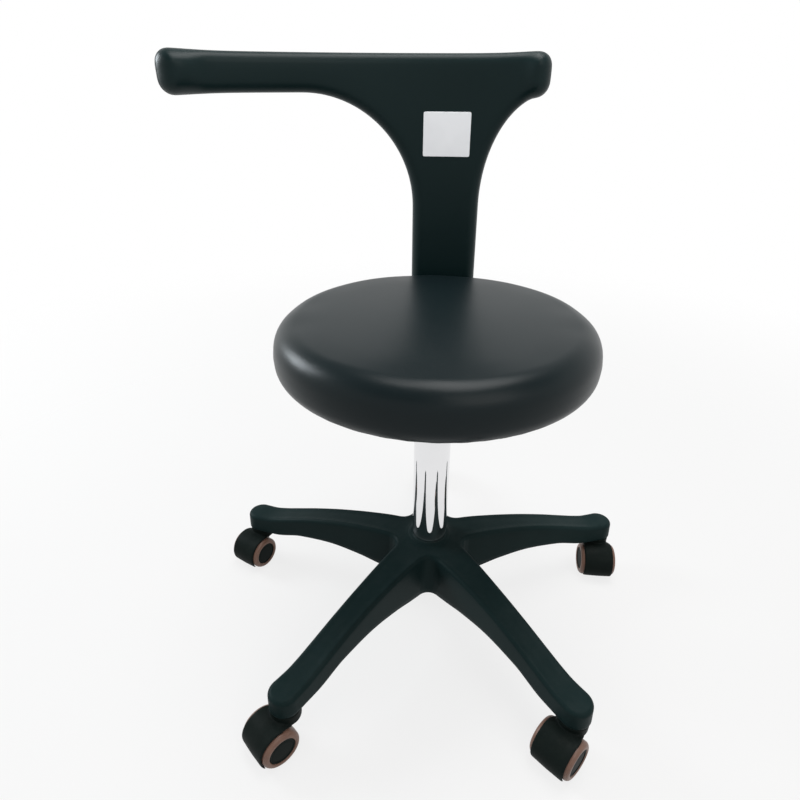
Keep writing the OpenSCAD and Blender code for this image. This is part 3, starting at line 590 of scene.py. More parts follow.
def base_mesh(wall=0.004, edge=0.0056):
    pts = np.array(star)
    inward = outline_normals(star)
    n = len(pts)
    radius = np.linalg.norm(pts, axis=1)
    low = smooth_table(radius, *belly_at)
    rows = []
    # Up the outside: the lower lip, the side with a little draft, and the rounded edge
    rows.append((pts + inward * 0.0008, low))
    rows.append((pts, low + 0.0009))
    high = crown_height(pts, np.zeros(n)) - edge
    for t in np.linspace(0.15, 1.0, 6):
        rows.append((pts + inward * 0.0006 * t, low + 0.0009 + (high - low - 0.0009) * t))
    for a in np.radians([12, 24, 36, 48, 60, 70, 80, 90]):
        step = edge * (1 - math.cos(a)) + 0.0006
        moved = pts + inward * step
        rows.append((moved, crown_height(moved, np.full(n, step)) - edge * (1 - math.sin(a))))
    verts = [np.column_stack(row) for row in rows]
    faces = []
    for i in range(len(rows) - 1):
        faces += row_band(n, i * n, (i + 1) * n)
    flat, tris = fill_outline(rows[-1][0], 0.0042)
    extra = flat[n:]
    depth = distance_to_outline(extra, star)
    start = sum(len(v) for v in verts)
    verts.append(np.column_stack([extra, crown_height(extra, depth)]))
    last = (len(rows) - 1) * n
    faces += [tuple(last + i if i < n else start + i - n for i in f) for f in tris]
    # Down the inside: rim, inner wall and ceiling
    count = sum(len(v) for v in verts)
    inner = pts + inward * wall
    ceiling = crown_height(inner, np.full(n, wall)) - wall - 0.001
    floor_rows = [np.column_stack([inner, low]),
                  np.column_stack([inner + inward * 0.0006, ceiling])]
    verts += floor_rows
    for low_row, high_row in ((0, count), (count, count + n)):
        faces += band(n, (low_row, 0), (high_row, 0), (high_row, 1), (low_row, 1))
    flat, tris = fill_outline(floor_rows[1][:, :2], 0.009)
    extra = flat[n:]
    start = count + 2 * n
    depth = distance_to_outline(extra, star)
    verts.append(np.column_stack([extra, crown_height(extra, depth) - 0.005]))
    faces += [tuple(count + n + i if i < n else start + i - n for i in reversed(f)) for f in tris]
    return np.vstack(verts) + np.array([column.x, column.y, 0.0]), faces


base_verts, base_faces = base_mesh()
base = make_piece("star_base_moulding", base_verts, base_faces, nylon, "base", ["star_base"],
                  "nylon", sharp=45)
print("base:", len(base.data.polygons), "faces")

# %% [markdown]
# ### Ribs, sockets and the hub barrel
# Under each leg stand cross ribs, a round boss for the castor's stem, and in the middle the barrel
# that grips the lift tube. The ribs repeat along every leg, so a small Geometry Nodes tree sets
# them out: it walks a line of points, puts a plate on each and turns the row into one mesh.

# %% Rib tree
def start_tree(name, inputs):
    """An empty Geometry Nodes tree: the tree, its given values and their identifiers."""
    tree = bpy.data.node_groups.new(name, "GeometryNodeTree")
    add = tree.interface.new_socket
    add("Geometry", in_out="INPUT", socket_type="NodeSocketGeometry")
    ids = {}
    for label, kind, value in inputs:
        socket = add(label, in_out="INPUT", socket_type=kind)
        if value is not None:
            socket.default_value = value
        ids[label] = socket.identifier
    add("Geometry", in_out="OUTPUT", socket_type="NodeSocketGeometry")
    return tree, tree.nodes.new("NodeGroupInput").outputs, ids


def end_tree(tree, points, instance, rotation, material):
    """Puts the instance on every point, makes it real and gives it its material."""
    spread = add_node(tree, "GeometryNodeInstanceOnPoints", Points=points.outputs[0],
                      Instance=instance.outputs[0], Rotation=rotation.outputs[0])
    real = add_node(tree, "GeometryNodeRealizeInstances", spread.outputs[0])
    paint = add_node(tree, "GeometryNodeSetMaterial", Geometry=real.outputs[0],
                     Material=material)
    add_node(tree, "NodeGroupOutput", paint.outputs[0])


def make_row_tree(name, material):
    """Plates set out along a line: inputs Count, Start, Step, Plate (its size) and Turn."""
    tree, given, ids = start_tree(name, [
        ("Count", "NodeSocketInt", 4), ("Start", VECTOR, None), ("Step", VECTOR, None),
        ("Plate", VECTOR, None), ("Turn", FLOAT, 0.0)])
    line = add_node(tree, "GeometryNodeMeshLine", Count=given["Count"],
                    Start_Location=given["Start"], Offset=given["Step"])
    plate = add_node(tree, "GeometryNodeMeshCube", Size=given["Plate"])
    turn = add_node(tree, "ShaderNodeCombineXYZ", Z=given["Turn"])
    end_tree(tree, line, plate, turn, material)
    return tree, ids


def run_tree(tree, ids, values, name):
    """Runs a Geometry Nodes tree with the given inputs and returns its result as a plain mesh."""
    holder = bpy.data.objects.new(name + "_maker", bpy.data.meshes.new(name + "_maker"))
    bpy.context.scene.collection.objects.link(holder)
    modifier = holder.modifiers.new("nodes", "NODES")
    modifier.node_group = tree
    for label, value in values.items():
        modifier[ids[label]] = value
    depsgraph = bpy.context.evaluated_depsgraph_get()
    mesh = bpy.data.meshes.new_from_object(holder.evaluated_get(depsgraph))
    bpy.data.objects.remove(holder)
    return mesh


def mesh_lists(mesh):
    return [tuple(v.co) for v in mesh.vertices], [tuple(p.vertices) for p in mesh.polygons]


def join_lists(parts):
    """Joins several (verts, faces) pairs into one."""
    verts, faces = [], []
    for v, f in parts:
        shift = len(verts)
        verts += [tuple(p) for p in v]
        faces += [tuple(i + shift for i in face) for face in f]
    return verts, faces


rib_tree, rib_ids = make_row_tree("Rib row", nylon)
print("tree:", rib_tree.name, sorted(rib_ids))

# %% [markdown]
# Each leg gets four short rows of ribs, lower and narrower towards its end. The boss for a
# castor's stem and the barrel round the tube are turned pieces, and all of it becomes one mesh.

# %% Ribs, bosses and barrel
def under_parts():
    parts = []
    for angle in LEG_ANGLES:
        c, s = math.cos(angle), math.sin(angle)
        for first, height, low in ((0.095, 0.036, 0.0755), (0.140, 0.030, 0.0790),
                                   (0.185, 0.022, 0.0775), (0.230, 0.017, 0.0745)):
            wide = 2 * float(smooth_table(first, *half_width_at)) - 0.0072
            mesh = run_tree(rib_tree, rib_ids, {
                "Count": 2, "Start": (column.x + first * c, column.y + first * s, low + height / 2),
                "Step": (0.022 * c, 0.022 * s, -0.0015), "Plate": (0.0022, wide, height),
                "Turn": angle}, "ribs")
            parts.append(mesh_lists(mesh))
        boss = rounded([(0.0057, 0.0625), (0.0108, 0.0625), (0.0108, 0.0860), (0.0057, 0.0860)],
                       [0.0004, 0.0008, 0, 0])
        v, f = turn_profile(boss, 48)
        here = Matrix.Translation((column.x + STEM_R * c, column.y + STEM_R * s, 0))
        parts.append((placed(v, here), f))
    barrel = rounded([(0.0243, 0.0585), (0.0325, 0.0585), (0.0325, 0.1200), (0.0258, 0.1200)],
                     [0.0006, 0.0012, 0, 0])
    v, f = turn_profile(barrel, 96)
    parts.append((placed(v, Matrix.Translation(column)), f))
    return join_lists(parts)


ribs = make_piece("star_base_ribs", *under_parts(), nylon, "base", slot="nylon")
print("ribs:", len(ribs.data.polygons), "faces")

# %% [markdown]
# ## The lift tube and what shows round it
# The outer tube is hard chrome on steel, straight, with a small bevel at its mouth, where the
# black plastic guide bush closes it. Both are turned pieces. A plastic lip on the hub grips the
# tube, so there is a thin dark seam rather than a plain line where two solids meet.

# %% Lift tube
def turned(name, profile, material, body, stands_for=(), slot=None, segments=96, axis=column,
           sharp=38.0):
    v, f = turn_profile(profile, segments)
    return make_piece(name, placed(v, Matrix.Translation(axis)), f, material, body, stands_for,
                      slot, sharp)


tube_low, tube_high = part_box("column_tube")
tube_r = (tube_high.x - tube_low.x) / 2
tube_profile = rounded([
    (tube_r - 0.0035, tube_low.z), (tube_r - 0.0015, tube_low.z), (tube_r, 0.126),
    (tube_r, tube_high.z), (tube_r - 0.002, tube_high.z), (tube_r - 0.002, 0.126)],
    [0.0003, 0.0005, 0, 0.0009, 0.0003, 0])
tube = turned("lift_tube", tube_profile, chrome, "base", ["column_tube"], "chrome", 160)
lip_profile = rounded([
    (tube_r + 0.0003, 0.1240), (tube_r + 0.0062, 0.1240), (tube_r + 0.0062, 0.1312),
    (tube_r + 0.0021, 0.1328), (tube_r + 0.0003, 0.1324)], [0, 0, 0.0016, 0.0009, 0.0003])
lip = turned("hub_lip", lip_profile, nylon, "base", slot="nylon", segments=128)
bush_low, bush_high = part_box("guide_bush")
bush_r = 0.01406
bush_profile = rounded([
    (bush_r, bush_low.z), (tube_r - 0.00215, bush_low.z), (tube_r - 0.00215, tube_high.z + 0.0001),
    (tube_r - 0.0012, tube_high.z + 0.0001), (tube_r - 0.0012, bush_high.z),
    (bush_r, bush_high.z)], [0.0005, 0.0005, 0, 0.0002, 0.0012, 0.0010])
bush = turned("guide_bush_turned", bush_profile, black_plastic, "base", ["guide_bush"],
              "black_plastic", 96)
print("tube from", round(tube_low.z, 3), "to", round(tube_high.z, 3))

# %% [markdown]
# ## The castors
# A castor is a hood that runs on the leg's stem, with a wheel on each side of its middle web. The
# hood is a round shell that flows into the stem's boss. That blend is hard to sweep, so the plain
# solids are joined and cut by booleans, remeshed into even small faces, and then relaxed, which
# rounds every edge as a moulding is rounded. It is made once at the origin and copied to each leg.

# %% Solid helpers for the hood
def solid_cylinder(radius, length, centre, axis, segments=96):
    """A cylinder object about a point, along X, Y or Z."""
    work = bmesh.new()
    bmesh.ops.create_cone(work, cap_ends=True, segments=segments, radius1=radius, radius2=radius,
                          depth=length)
    turn = {"X": Matrix.Rotation(math.pi / 2, 4, "Y"), "Y": Matrix.Rotation(math.pi / 2, 4, "X"),
            "Z": Matrix.Identity(4)}[axis]
    bmesh.ops.transform(work, matrix=Matrix.Translation(centre) @ turn, verts=work.verts)
    return bmesh_object(work, "solid")


def solid_box(low, high):
    work = bmesh.new()
    size, middle = Vector(high) - Vector(low), (Vector(high) + Vector(low)) / 2
    bmesh.ops.create_cube(work, size=1.0)
    bmesh.ops.transform(work, matrix=Matrix.Translation(middle) @ Matrix.Diagonal((*size, 1.0)),
                        verts=work.verts)
    return bmesh_object(work, "solid")


def bmesh_object(work, name):
    mesh = bpy.data.meshes.new(name)
    work.to_mesh(mesh)
    work.free()
    made = bpy.data.objects.new(name, mesh)
    bpy.context.scene.collection.objects.link(made)
    return made


def combine(target, other, operation):
    """Applies one boolean and removes the second solid."""
    modifier = target.modifiers.new("cut", "BOOLEAN")
    modifier.operation, modifier.solver, modifier.object = operation, "EXACT", other
    apply_modifiers(target)
    bpy.data.objects.remove(other)
    return target


def apply_modifiers(target):
    depsgraph = bpy.context.evaluated_depsgraph_get()
    mesh = bpy.data.meshes.new_from_object(target.evaluated_get(depsgraph))
    target.modifiers.clear()
    old = target.data
    target.data = mesh
    bpy.data.meshes.remove(old)


print("solid helpers ready")

# %% [markdown]
# The hood's shell and the boss over its stem are turned solids. The room for each wheel, the open
# front and the flat underside are cut away in turn, and the shoulder is trimmed last, so that the
# plan narrows from the wheels to the boss. No two cuts share a face or an edge, because exact
# booleans can go wrong there.

# %% Castor hood
pivot = Vector(joints["caster_1_swivel"]["pos_m"])
wheel_centre = Vector(joints["caster_1_roll_a"]["pos_m"])
TRAIL = (Vector(wheel_centre[:2]) - Vector(pivot[:2])).length
WHEEL_R, WEB, HOOD_HALF, HOOD_R, ROOM_R = wheel_centre.z, 0.015, 0.023, 0.0285, 0.0260


def turned_solid(profile, matrix, segments=128):
    """A turned solid as an object of its own, for booleans. The profile starts and ends at r=0."""
    v, f = turn_profile(profile, segments, closed=False)
    work = bmesh.new()
    points = [work.verts.new(p) for p in placed(v, matrix)]
    for face in f:
        work.faces.new([points[i] for i in face])
    bmesh.ops.remove_doubles(work, verts=work.verts, dist=1e-6)
    bmesh.ops.recalc_face_normals(work, faces=work.faces)
    return bmesh_object(work, "solid")


def prism(outline, low, high):
    """An upright prism over an outline, as an object for booleans."""
    v, f = skin_rings([[(x, y, z) for x, y in outline] for z in (low, high)])
    work = bmesh.new()
    points = [work.verts.new(p) for p in v]
    for face in f:
        work.faces.new([points[i] for i in face])
    bmesh.ops.recalc_face_normals(work, faces=work.faces)
    return bmesh_object(work, "solid")


def shoulder(side, boss=0.0192):
    """What is cut from each side so that the hood's plan narrows from the wheels to the boss."""
    arc = [(boss * math.cos(a), boss * math.sin(a)) for a in np.radians([104, 95, 86, 78])]
    outline = arc + [(0.0100, 0.0198), (0.0160, 0.0216), (0.0210, 0.0226), (0.0270, 0.0232),
                     (0.0270, 0.0500), (-0.0046, 0.0500)]
    return prism([(x, side * y) for x, y in outline], -0.03, 0.09)


def hood_solid():
    """The hood at the origin: stem axis on +Z, wheels trailing to +X."""
    h = HOOD_HALF
    shell = rounded([(0, -h), (HOOD_R - 0.0006, -h), (HOOD_R, 0), (HOOD_R - 0.0006, h), (0, h)],
                    [0, 0.0030, 0.09, 0.0030, 0], closed=False)
    axle = Matrix.Translation((TRAIL, 0, WHEEL_R)) @ Matrix.Rotation(math.pi / 2, 4, "X")
    hood = turned_solid(shell, axle)
    top = rounded([(0, 0.0440), (0.0184, 0.0440), (0.0190, 0.0606), (0, 0.0606)],
                  [0, 0.0008, 0.0016, 0], closed=False)
    combine(hood, turned_solid(top, Matrix.Identity(4)), "UNION")
    combine(hood, solid_cylinder(0.0150, 0.0180, (0.010, 0, 0.0440), "Z"), "UNION")
    for side in (-1, 1):
        room = solid_cylinder(ROOM_R, 0.030, (TRAIL, side * (WEB / 2 + 0.015), WHEEL_R), "Y", 128)
        combine(hood, room, "DIFFERENCE")
        outer = sorted((side * WEB / 2, side * 0.06))
        combine(hood, solid_box((-0.08, outer[0], -0.02), (TRAIL - 0.0132, outer[1], 0.0444)),
                "DIFFERENCE")
    for side in (-1, 1):
        combine(hood, shoulder(side), "DIFFERENCE")
    combine(hood, solid_box((-0.08, -0.05, -0.02), (0.10, 0.05, 0.0104)), "DIFFERENCE")
    combine(hood, solid_box((-0.08, -0.05, -0.02), (TRAIL - 0.0180, 0.05, 0.0285)), "DIFFERENCE")
    remesh = hood.modifiers.new("even", "REMESH")
    remesh.mode, remesh.voxel_size = "VOXEL", 0.00085
    relax = hood.modifiers.new("relax", "SMOOTH")
    relax.factor, relax.iterations = 0.6, 7
    apply_modifiers(hood)
    return hood


hood_model = hood_solid()
hood_lists = mesh_lists(hood_model.data)
bpy.data.objects.remove(hood_model)
print("hood:", len(hood_lists[1]), "faces")

# %% [markdown]
# ### Wheels
# Each wheel is a black core with a tread ring of soft rose-brown polyurethane. Both are turned
# about the axle. The tread's outer shoulder is well rounded, and the core's face is a shallow
# dished disc with a fine step where it meets the tread.

# %% Wheel profiles
WHEEL_IN = WEB / 2 + 0.0005
WHEEL_OUT = WHEEL_IN + 0.019
FACE_R, CORE_R = WHEEL_R - 0.0075, WHEEL_R - 0.003
# (radius, distance from the castor's middle)
core_profile = rounded([
    (0.0031, WHEEL_IN), (0.0066, WHEEL_IN), (0.0066, WHEEL_OUT - 0.005),
    (CORE_R - 0.0026, WHEEL_OUT - 0.005), (CORE_R - 0.0026, WHEEL_IN), (CORE_R, WHEEL_IN),
    (CORE_R, WHEEL_OUT - 0.003), (FACE_R - 0.0001, WHEEL_OUT - 0.003),
    (FACE_R - 0.0001, WHEEL_OUT - 0.0009), (FACE_R - 0.0018, WHEEL_OUT - 0.0009),
    (FACE_R - 0.0026, WHEEL_OUT - 0.0018), (0.0120, WHEEL_OUT - 0.0013),
    (0.0, WHEEL_OUT - 0.0011), (0.0, WHEEL_OUT - 0.0031), (0.0031, WHEEL_OUT - 0.0031)],
    [0.0003, 0.0005, 0.0008, 0.0008, 0.0005, 0.0003, 0, 0, 0.0007, 0.0006, 0.0008, 0.006,
     0, 0, 0])
tread_profile = rounded([
    (CORE_R + 0.0001, WHEEL_IN), (WHEEL_R - 0.0005, WHEEL_IN), (WHEEL_R, WHEEL_IN + 0.0080),
    (WHEEL_R, WHEEL_OUT - 0.0035), (WHEEL_R - 0.0030, WHEEL_OUT),
    (FACE_R + 0.0001, WHEEL_OUT), (FACE_R + 0.0001, WHEEL_OUT - 0.003),
    (CORE_R + 0.0001, WHEEL_OUT - 0.003)],
    [0.0003, 0.0012, 0.008, 0.0050, 0.0060, 0.0022, 0, 0], steps=8)


def wheel_lists(profile, side, segments):
    """The profile turned about the axle, on side -1 (a) or +1 (b), in the castor's frame."""
    v, f = turn_profile(profile, segments)
    flip = Matrix.Translation((TRAIL, 0, WHEEL_R)) @ Matrix.Rotation(side * -math.pi / 2, 4, "X")
    return placed(v, flip), f


for i in range(1, 6):
    stem = Vector(joints[f"caster_{i}_swivel"]["pos_m"])
    hub = Vector(joints[f"caster_{i}_roll_a"]["pos_m"])
    heading = math.atan2(hub.y - stem.y, hub.x - stem.x)
    here = Matrix.Translation((stem.x, stem.y, 0)) @ Matrix.Rotation(heading, 4, "Z")
    make_piece(f"castor_{i}_hood", placed(hood_lists[0], here), hood_lists[1], castor_nylon,
               f"caster_{i}", [f"caster_{i}_hood"], "nylon_castor", sharp=60)
    for letter, side in (("a", -1), ("b", 1)):
        v, f = wheel_lists(core_profile, side, 72)
        make_piece(f"castor_{i}_core_{letter}", placed(v, here), f, castor_nylon,
                   f"caster_{i}_roller_{letter}", [f"caster_{i}_wheel_{letter}"], "nylon_castor")
        v, f = wheel_lists(tread_profile, side, 96)
        make_piece(f"castor_{i}_tyre_{letter}", placed(v, here), f, tread_rubber,
                   f"caster_{i}_roller_{letter}", [f"caster_{i}_tread_{letter}"], "tread",
                   sharp=60)
print("castors made")

# %% [markdown]
# ## The seat
# The seat is a thick foam disc on a plywood board, with vinyl pulled over it and fixed
# underneath. Its side bulges, its top is barely crowned, and the roll between them is soft. A
# turned shape gives the true size; then cloth with a little air pressure lets the cover find its
# own tension, so the crown and the roll aren't the perfect arcs of a drawing.

# %% Seat cover
seat_low, seat_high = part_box("seat_cover")
SEAT_R = (seat_high.x - seat_low.x) / 2
LIP_R = 0.150


def seat_profile(shrink=0.0):
    """Half outline of the padded seat, from its inner edge underneath to the top's middle."""
    low, high, r = seat_low.z + shrink, seat_high.z - shrink, SEAT_R - shrink
    under, top = 0.024, 0.030
    points = [(LIP_R + 0.0005, low + 0.0024), (LIP_R, low + 0.0012), (LIP_R + 0.0012, low)]
    points += [(x, low) for x in (0.156, 0.163, 0.170)]
    points += [(r - under + under * math.cos(a), low + under + under * math.sin(a))
               for a in np.radians(np.linspace(-90, -8, 12))]
    middle = (low + under + high - top) / 2
    points += [(r + 0.0006, middle)]
    points += [(r - top + top * math.cos(a), high - top + top * math.sin(a))
               for a in np.radians(np.linspace(6, 90, 14))]
    flat = np.linspace(r - top - 0.006, 0.004, 26)
    crown = 0.0022
    points += [(x, high + crown * (1 - (x / (r - top)) ** 2)) for x in flat]
    points.append((0.0, high + crown))
    return points


def closed_seat(shrink, segments=200):
    profile = seat_profile(shrink)
    inner = [(0.0, profile[0][1])]
    return turn_profile(inner + profile, segments, closed=False)


seat_verts, seat_faces = closed_seat(0.0)
seat = make_piece("seat_cushion", seat_verts, seat_faces, vinyl, "seat", [], "leather", sharp=70)
print("seat:", len(seat.data.polygons), "faces, radius", round(SEAT_R, 4))

# %% [markdown]
# The cloth runs on a copy with even faces. Only its slow, large movement is wanted, so the
# difference from the start is smoothed, capped at a few millimetres, and carried back to the
# turned mesh, whose rings keep the highlights clean.

# %% Cloth tension
def seat_tension():
    """How far cloth under slight pressure moves each of the seat's points, as an array."""
    start, faces = closed_seat(0.002, 96)
    mesh = bpy.data.meshes.new("tension")
    mesh.from_pydata(start, [], faces)
    sheet = bpy.data.objects.new("tension", mesh)
    bpy.context.scene.collection.objects.link(sheet)
    remesh = sheet.modifiers.new("even", "REMESH")
    remesh.mode, remesh.voxel_size = "VOXEL", 0.007
    apply_modifiers(sheet)
    before = np.array([v.co for v in sheet.data.vertices])
    cloth = sheet.modifiers.new("cloth", "CLOTH")
    pin = sheet.vertex_groups.new(name="pin")
    held = [v.index for v in sheet.data.vertices if v.co.z < seat_low.z + 0.006]
    pin.add(held, 1.0, "REPLACE")
    cloth.settings.vertex_group_mass = "pin"
    cloth.settings.use_pressure = True
    cloth.settings.uniform_pressure_force = 4.0
    cloth.settings.effector_weights.gravity = 0.0
    cloth.settings.tension_stiffness = 40.0
    cloth.settings.compression_stiffness = 40.0
    cloth.settings.bending_stiffness = 4.0
    cloth.point_cache.frame_end = 20
    for number in range(1, 21):
        bpy.context.scene.frame_set(number)
    depsgraph = bpy.context.evaluated_depsgraph_get()
    after = np.array([v.co for v in sheet.evaluated_get(depsgraph).data.vertices])
    bpy.context.scene.frame_set(1)
    bpy.data.objects.remove(sheet)
    return before, after - before


def soften_seat(piece):
    before, moved = seat_tension()
    size = np.linalg.norm(moved, axis=1)
    moved *= (np.minimum(size, 0.006) / np.maximum(size, 1e-9))[:, None]
    co = np.array([v.co for v in piece.data.vertices])
    near = np.zeros_like(co)
    for k in range(0, len(co), 2000):
        gap = np.linalg.norm(co[k:k + 2000, None, :] - before[None], axis=2)
        weight = np.exp(-((gap / 0.022) ** 2)) + 1e-12
        near[k:k + 2000] = (weight @ moved) / weight.sum(axis=1)[:, None]
    near *= np.clip((co[:, 2] - seat_low.z - 0.004) / 0.02, 0, 1)[:, None]
    outward = near * np.array([0.30, 0.30, 0.25])
    piece.data.vertices.foreach_set("co", (co + outward).ravel())
    return float(np.abs(outward).max())


print("cover moved up to", round(soften_seat(seat) * 1000, 2), "mm")

# %% [markdown]
# Where the vinyl is drawn round the lower edge it gathers into shallow pleats, which die out
# before they reach the side. They are moves of the mesh, not bump, since they are wide enough to
# shade on their own.

# %% Pleats under the edge
def add_pleats(piece, count=46):
    co = np.array([v.co for v in piece.data.vertices])
    x, y, z = co[:, 0], co[:, 1], co[:, 2]
    angle = np.arctan2(y, x)
    r = np.hypot(x, y)
    wave = np.sin(angle * count + 1.7 * np.sin(angle * 5) + 0.9 * np.sin(angle * 11 + 1.0))
    wave = np.where(wave > 0, np.abs(wave) ** 0.8, wave * 0.45)
    height = (z - seat_low.z) / (seat_high.z - seat_low.z)
    fade = np.clip(1 - height / 0.30, 0, 1) ** 2 * np.clip((r - LIP_R - 0.004) / 0.015, 0, 1)
    co[:, 2] -= wave * 0.00075 * fade
    co[:, 0] -= np.cos(angle) * wave * 0.0005 * fade
    co[:, 1] -= np.sin(angle) * wave * 0.0005 * fade
    # Slow unevenness of hand-pulled upholstery
    co[:, 2] += 0.0005 * np.sin(angle * 3 + 0.6) * np.clip(height, 0, 1) * (r / SEAT_R) ** 2
    piece.data.vertices.foreach_set("co", co.ravel())


add_pleats(seat)
seat.data.transform(Matrix.Translation(column))
seat.data.update()
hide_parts("seat_cover", "seat_foam", "seat_board", "tee_nuts")
print("pleats added")

# %% [markdown]
# ### Staples and dust cover
# Upholstery staples hold the lining under the seat. They repeat round a circle, which Geometry
# Nodes does well: a circle of points, one small staple on each, turned to face outwards.

# %% Staple tree
def make_staple_tree():
    """Staples round a circle, turned outwards: inputs Count, Radius, Crown and Wire."""
    tree, given, ids = start_tree("Staple ring", [
        ("Count", "NodeSocketInt", 40), ("Radius", FLOAT, 0.14), ("Crown", FLOAT, 0.010),
        ("Wire", FLOAT, 0.0009)])
    circle = add_node(tree, "GeometryNodeMeshCircle", Vertices=given["Count"],
                      Radius=given["Radius"])
    size = add_node(tree, "ShaderNodeCombineXYZ", given["Wire"], given["Crown"], given["Wire"])
    bar = add_node(tree, "GeometryNodeMeshCube", Size=size.outputs[0])
    place = add_node(tree, "GeometryNodeInputPosition")
    face_out = add_node(tree, "FunctionNodeAlignRotationToVector", axis="X",
                        Vector=place.outputs[0])
    end_tree(tree, circle, bar, face_out, steel)
    return tree, ids


staple_tree, staple_ids = make_staple_tree()
staple_mesh = run_tree(staple_tree, staple_ids,
                       {"Count": 44, "Radius": 0.1445, "Crown": 0.0105, "Wire": 0.0009}, "staples")
v, f = mesh_lists(staple_mesh)
dust_low, dust_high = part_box("dust_cover")
under_dust = Matrix.Translation((column.x, column.y, dust_low.z - 0.0002))
staples = make_piece("seat_staples", placed(v, under_dust), f, steel, "seat", slot="steel")
print("staples:", len(f) // 6)

# %% [markdown]
# ## The swinging back
# The back is a steel frame in self-skinned foam: a T with one long arm. Its edges are fully
# rounded, it curves round the sitter, and both ends swell forward into a knob for the hand. It is
# the same slab helper again, with the outline drawn on the unrolled curve and the result bent.

# %% Back outline
CURVE_R, REST_TURN = 0.540, math.radians(-3.0)
ARM_LEN, LOBE_LEN, STEM_HALF, STEM_RIGHT = 0.379, 0.134, 0.0465, 0.0490
BACK_FRONT, BACK_T = 0.210, 0.032
back_low, back_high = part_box("back_pad")
TOP_Z, BOTTOM_Z, ARM_LOW = 0.755, back_low.z, 0.709


def flare(s):
    """The extra height of the arm and the lobe near their ends."""
    end = np.minimum(s + ARM_LEN, LOBE_LEN - s)
    return 0.0025 * math.exp(-(max(end, 0.0) / 0.050) ** 2)


def back_outline(step=0.003):
    """Counter-clockwise in (s, z), s running along the curve and +s to the lobe."""
    def sweep_up(side, half, reach, drop):
        return [(side * (half + reach * (1 - math.cos(t))), ARM_LOW - drop + drop * math.sin(t))
                for t in np.linspace(0, math.pi / 2, 40)]
    low_r, high_r, corner = 0.0190, 0.0165, 0.0155
    right = [p for p in sweep_up(1, STEM_RIGHT, 0.088, 0.146) if p[0] < LOBE_LEN - low_r]
    left = sweep_up(-1, STEM_HALF, 0.152, 0.151)
    points = []
    # Bottom of the stem, left to right
    points += [(-STEM_HALF + corner * (1 - math.cos(a)), BOTTOM_Z + corner * (1 - math.sin(a)))
               for a in np.linspace(0, math.pi / 2, 9)]
    points += [(x, BOTTOM_Z)
               for x in np.arange(-STEM_HALF + corner + step, STEM_RIGHT - corner, step)]
    points += [(STEM_RIGHT - corner * (1 - math.sin(a)), BOTTOM_Z + corner * (1 - math.cos(a)))
               for a in np.linspace(0, math.pi / 2, 9)]
    points += [(STEM_RIGHT, z)
               for z in np.arange(BOTTOM_Z + corner + step, right[0][1] - step / 2, step)]
    points += right
    # Round the lobe's end
    tip = LOBE_LEN
    start_z = right[-1][1]
    points += [(tip - low_r + low_r * math.sin(a), start_z + low_r * (1 - math.cos(a)))
               for a in np.linspace(0.1, math.pi / 2, 10)]
    points += [(tip - high_r * (1 - math.cos(a)), TOP_Z + 0.0022 - high_r * (1 - math.sin(a)))
               for a in np.linspace(0.0, math.pi / 2, 12)]
    points += [(s, TOP_Z + flare(s))
               for s in np.arange(tip - high_r - step, -ARM_LEN + 0.017, -step)]
    # Round the arm's end
    far = -ARM_LEN
    points += [(far + 0.016 * (1 - math.sin(a)), TOP_Z + 0.0024 - 0.016 * (1 - math.cos(a)))
               for a in np.linspace(0.0, math.pi / 2, 12)]
    points += [(far + 0.017 * (1 - math.cos(a)), ARM_LOW - 0.0024 + 0.017 * (1 - math.sin(a)))
               for a in np.linspace(0.0, math.pi / 2, 12)]
    points += [(s, ARM_LOW - flare(s))
               for s in np.arange(far + 0.018, left[-1][0] - step / 2, step)]
    points += [(x, z) for x, z in reversed(left)]
    points += [(-STEM_HALF, z)
               for z in np.arange(left[0][1] - step, BOTTOM_Z + corner + step / 2, -step)]
    return even_out(points, step)


def even_out(points, step):
    """The same closed line with evenly spaced points, lightly relaxed."""
    p = np.array(points, float)
    p = p[np.linalg.norm(p - np.roll(p, 1, axis=0), axis=1) > 1e-5]
    loop = np.vstack([p, p[:1]])
    length = np.concatenate([[0], np.cumsum(np.linalg.norm(np.diff(loop, axis=0), axis=1))])
    count = int(length[-1] / step)
    at = np.linspace(0, length[-1], count, endpoint=False)
    out = np.stack([np.interp(at, length, loop[:, k]) for k in (0, 1)], axis=1)
    for _ in range(3):
        out = out * 0.5 + (np.roll(out, 1, axis=0) + np.roll(out, -1, axis=0)) * 0.25
    return [tuple(v) for v in out]


tee = back_outline()
print("back outline has", len(tee), "points")

# %% [markdown]
# The two faces are given by how far a point is from the outline: the edge is a quarter round, and
# beyond it the face crowns a little more. Near the ends the front face also swells forward.

# %% Back mesh
EDGE = 0.0130


def knob(s):
    """How far the front face swells forward near each end."""
    left = np.clip((-ARM_LEN + 0.066 - s) / 0.046, 0, 1)
    right = np.clip((s - LOBE_LEN + 0.042) / 0.032, 0, 1)

    def ease(t):
        return t ** 3 * (t * (6 * t - 15) + 10)

    return 0.0085 * ease(left) + 0.0065 * ease(right)


def back_offset(s, d, front):
    """How far the front or rear face is from the middle surface, at depth d in the outline."""
    s, d = np.array(s, float), np.array(d, float)
    half = BACK_T / 2
    in_edge = np.clip(EDGE - d, 0, EDGE)
    rounding = EDGE - np.sqrt(np.maximum(EDGE ** 2 - in_edge ** 2, 0))
    crown = 0.0010 * (1 - np.exp(-np.maximum(d - EDGE * 0.6, 0) / 0.012))
    reach = 1.6 * EDGE
    dome = 1 - (np.clip(reach - d, 0, reach) / reach) ** 2
    swell = knob(s) * dome if front else 0.0
    return half - 0.0010 - rounding + crown + swell


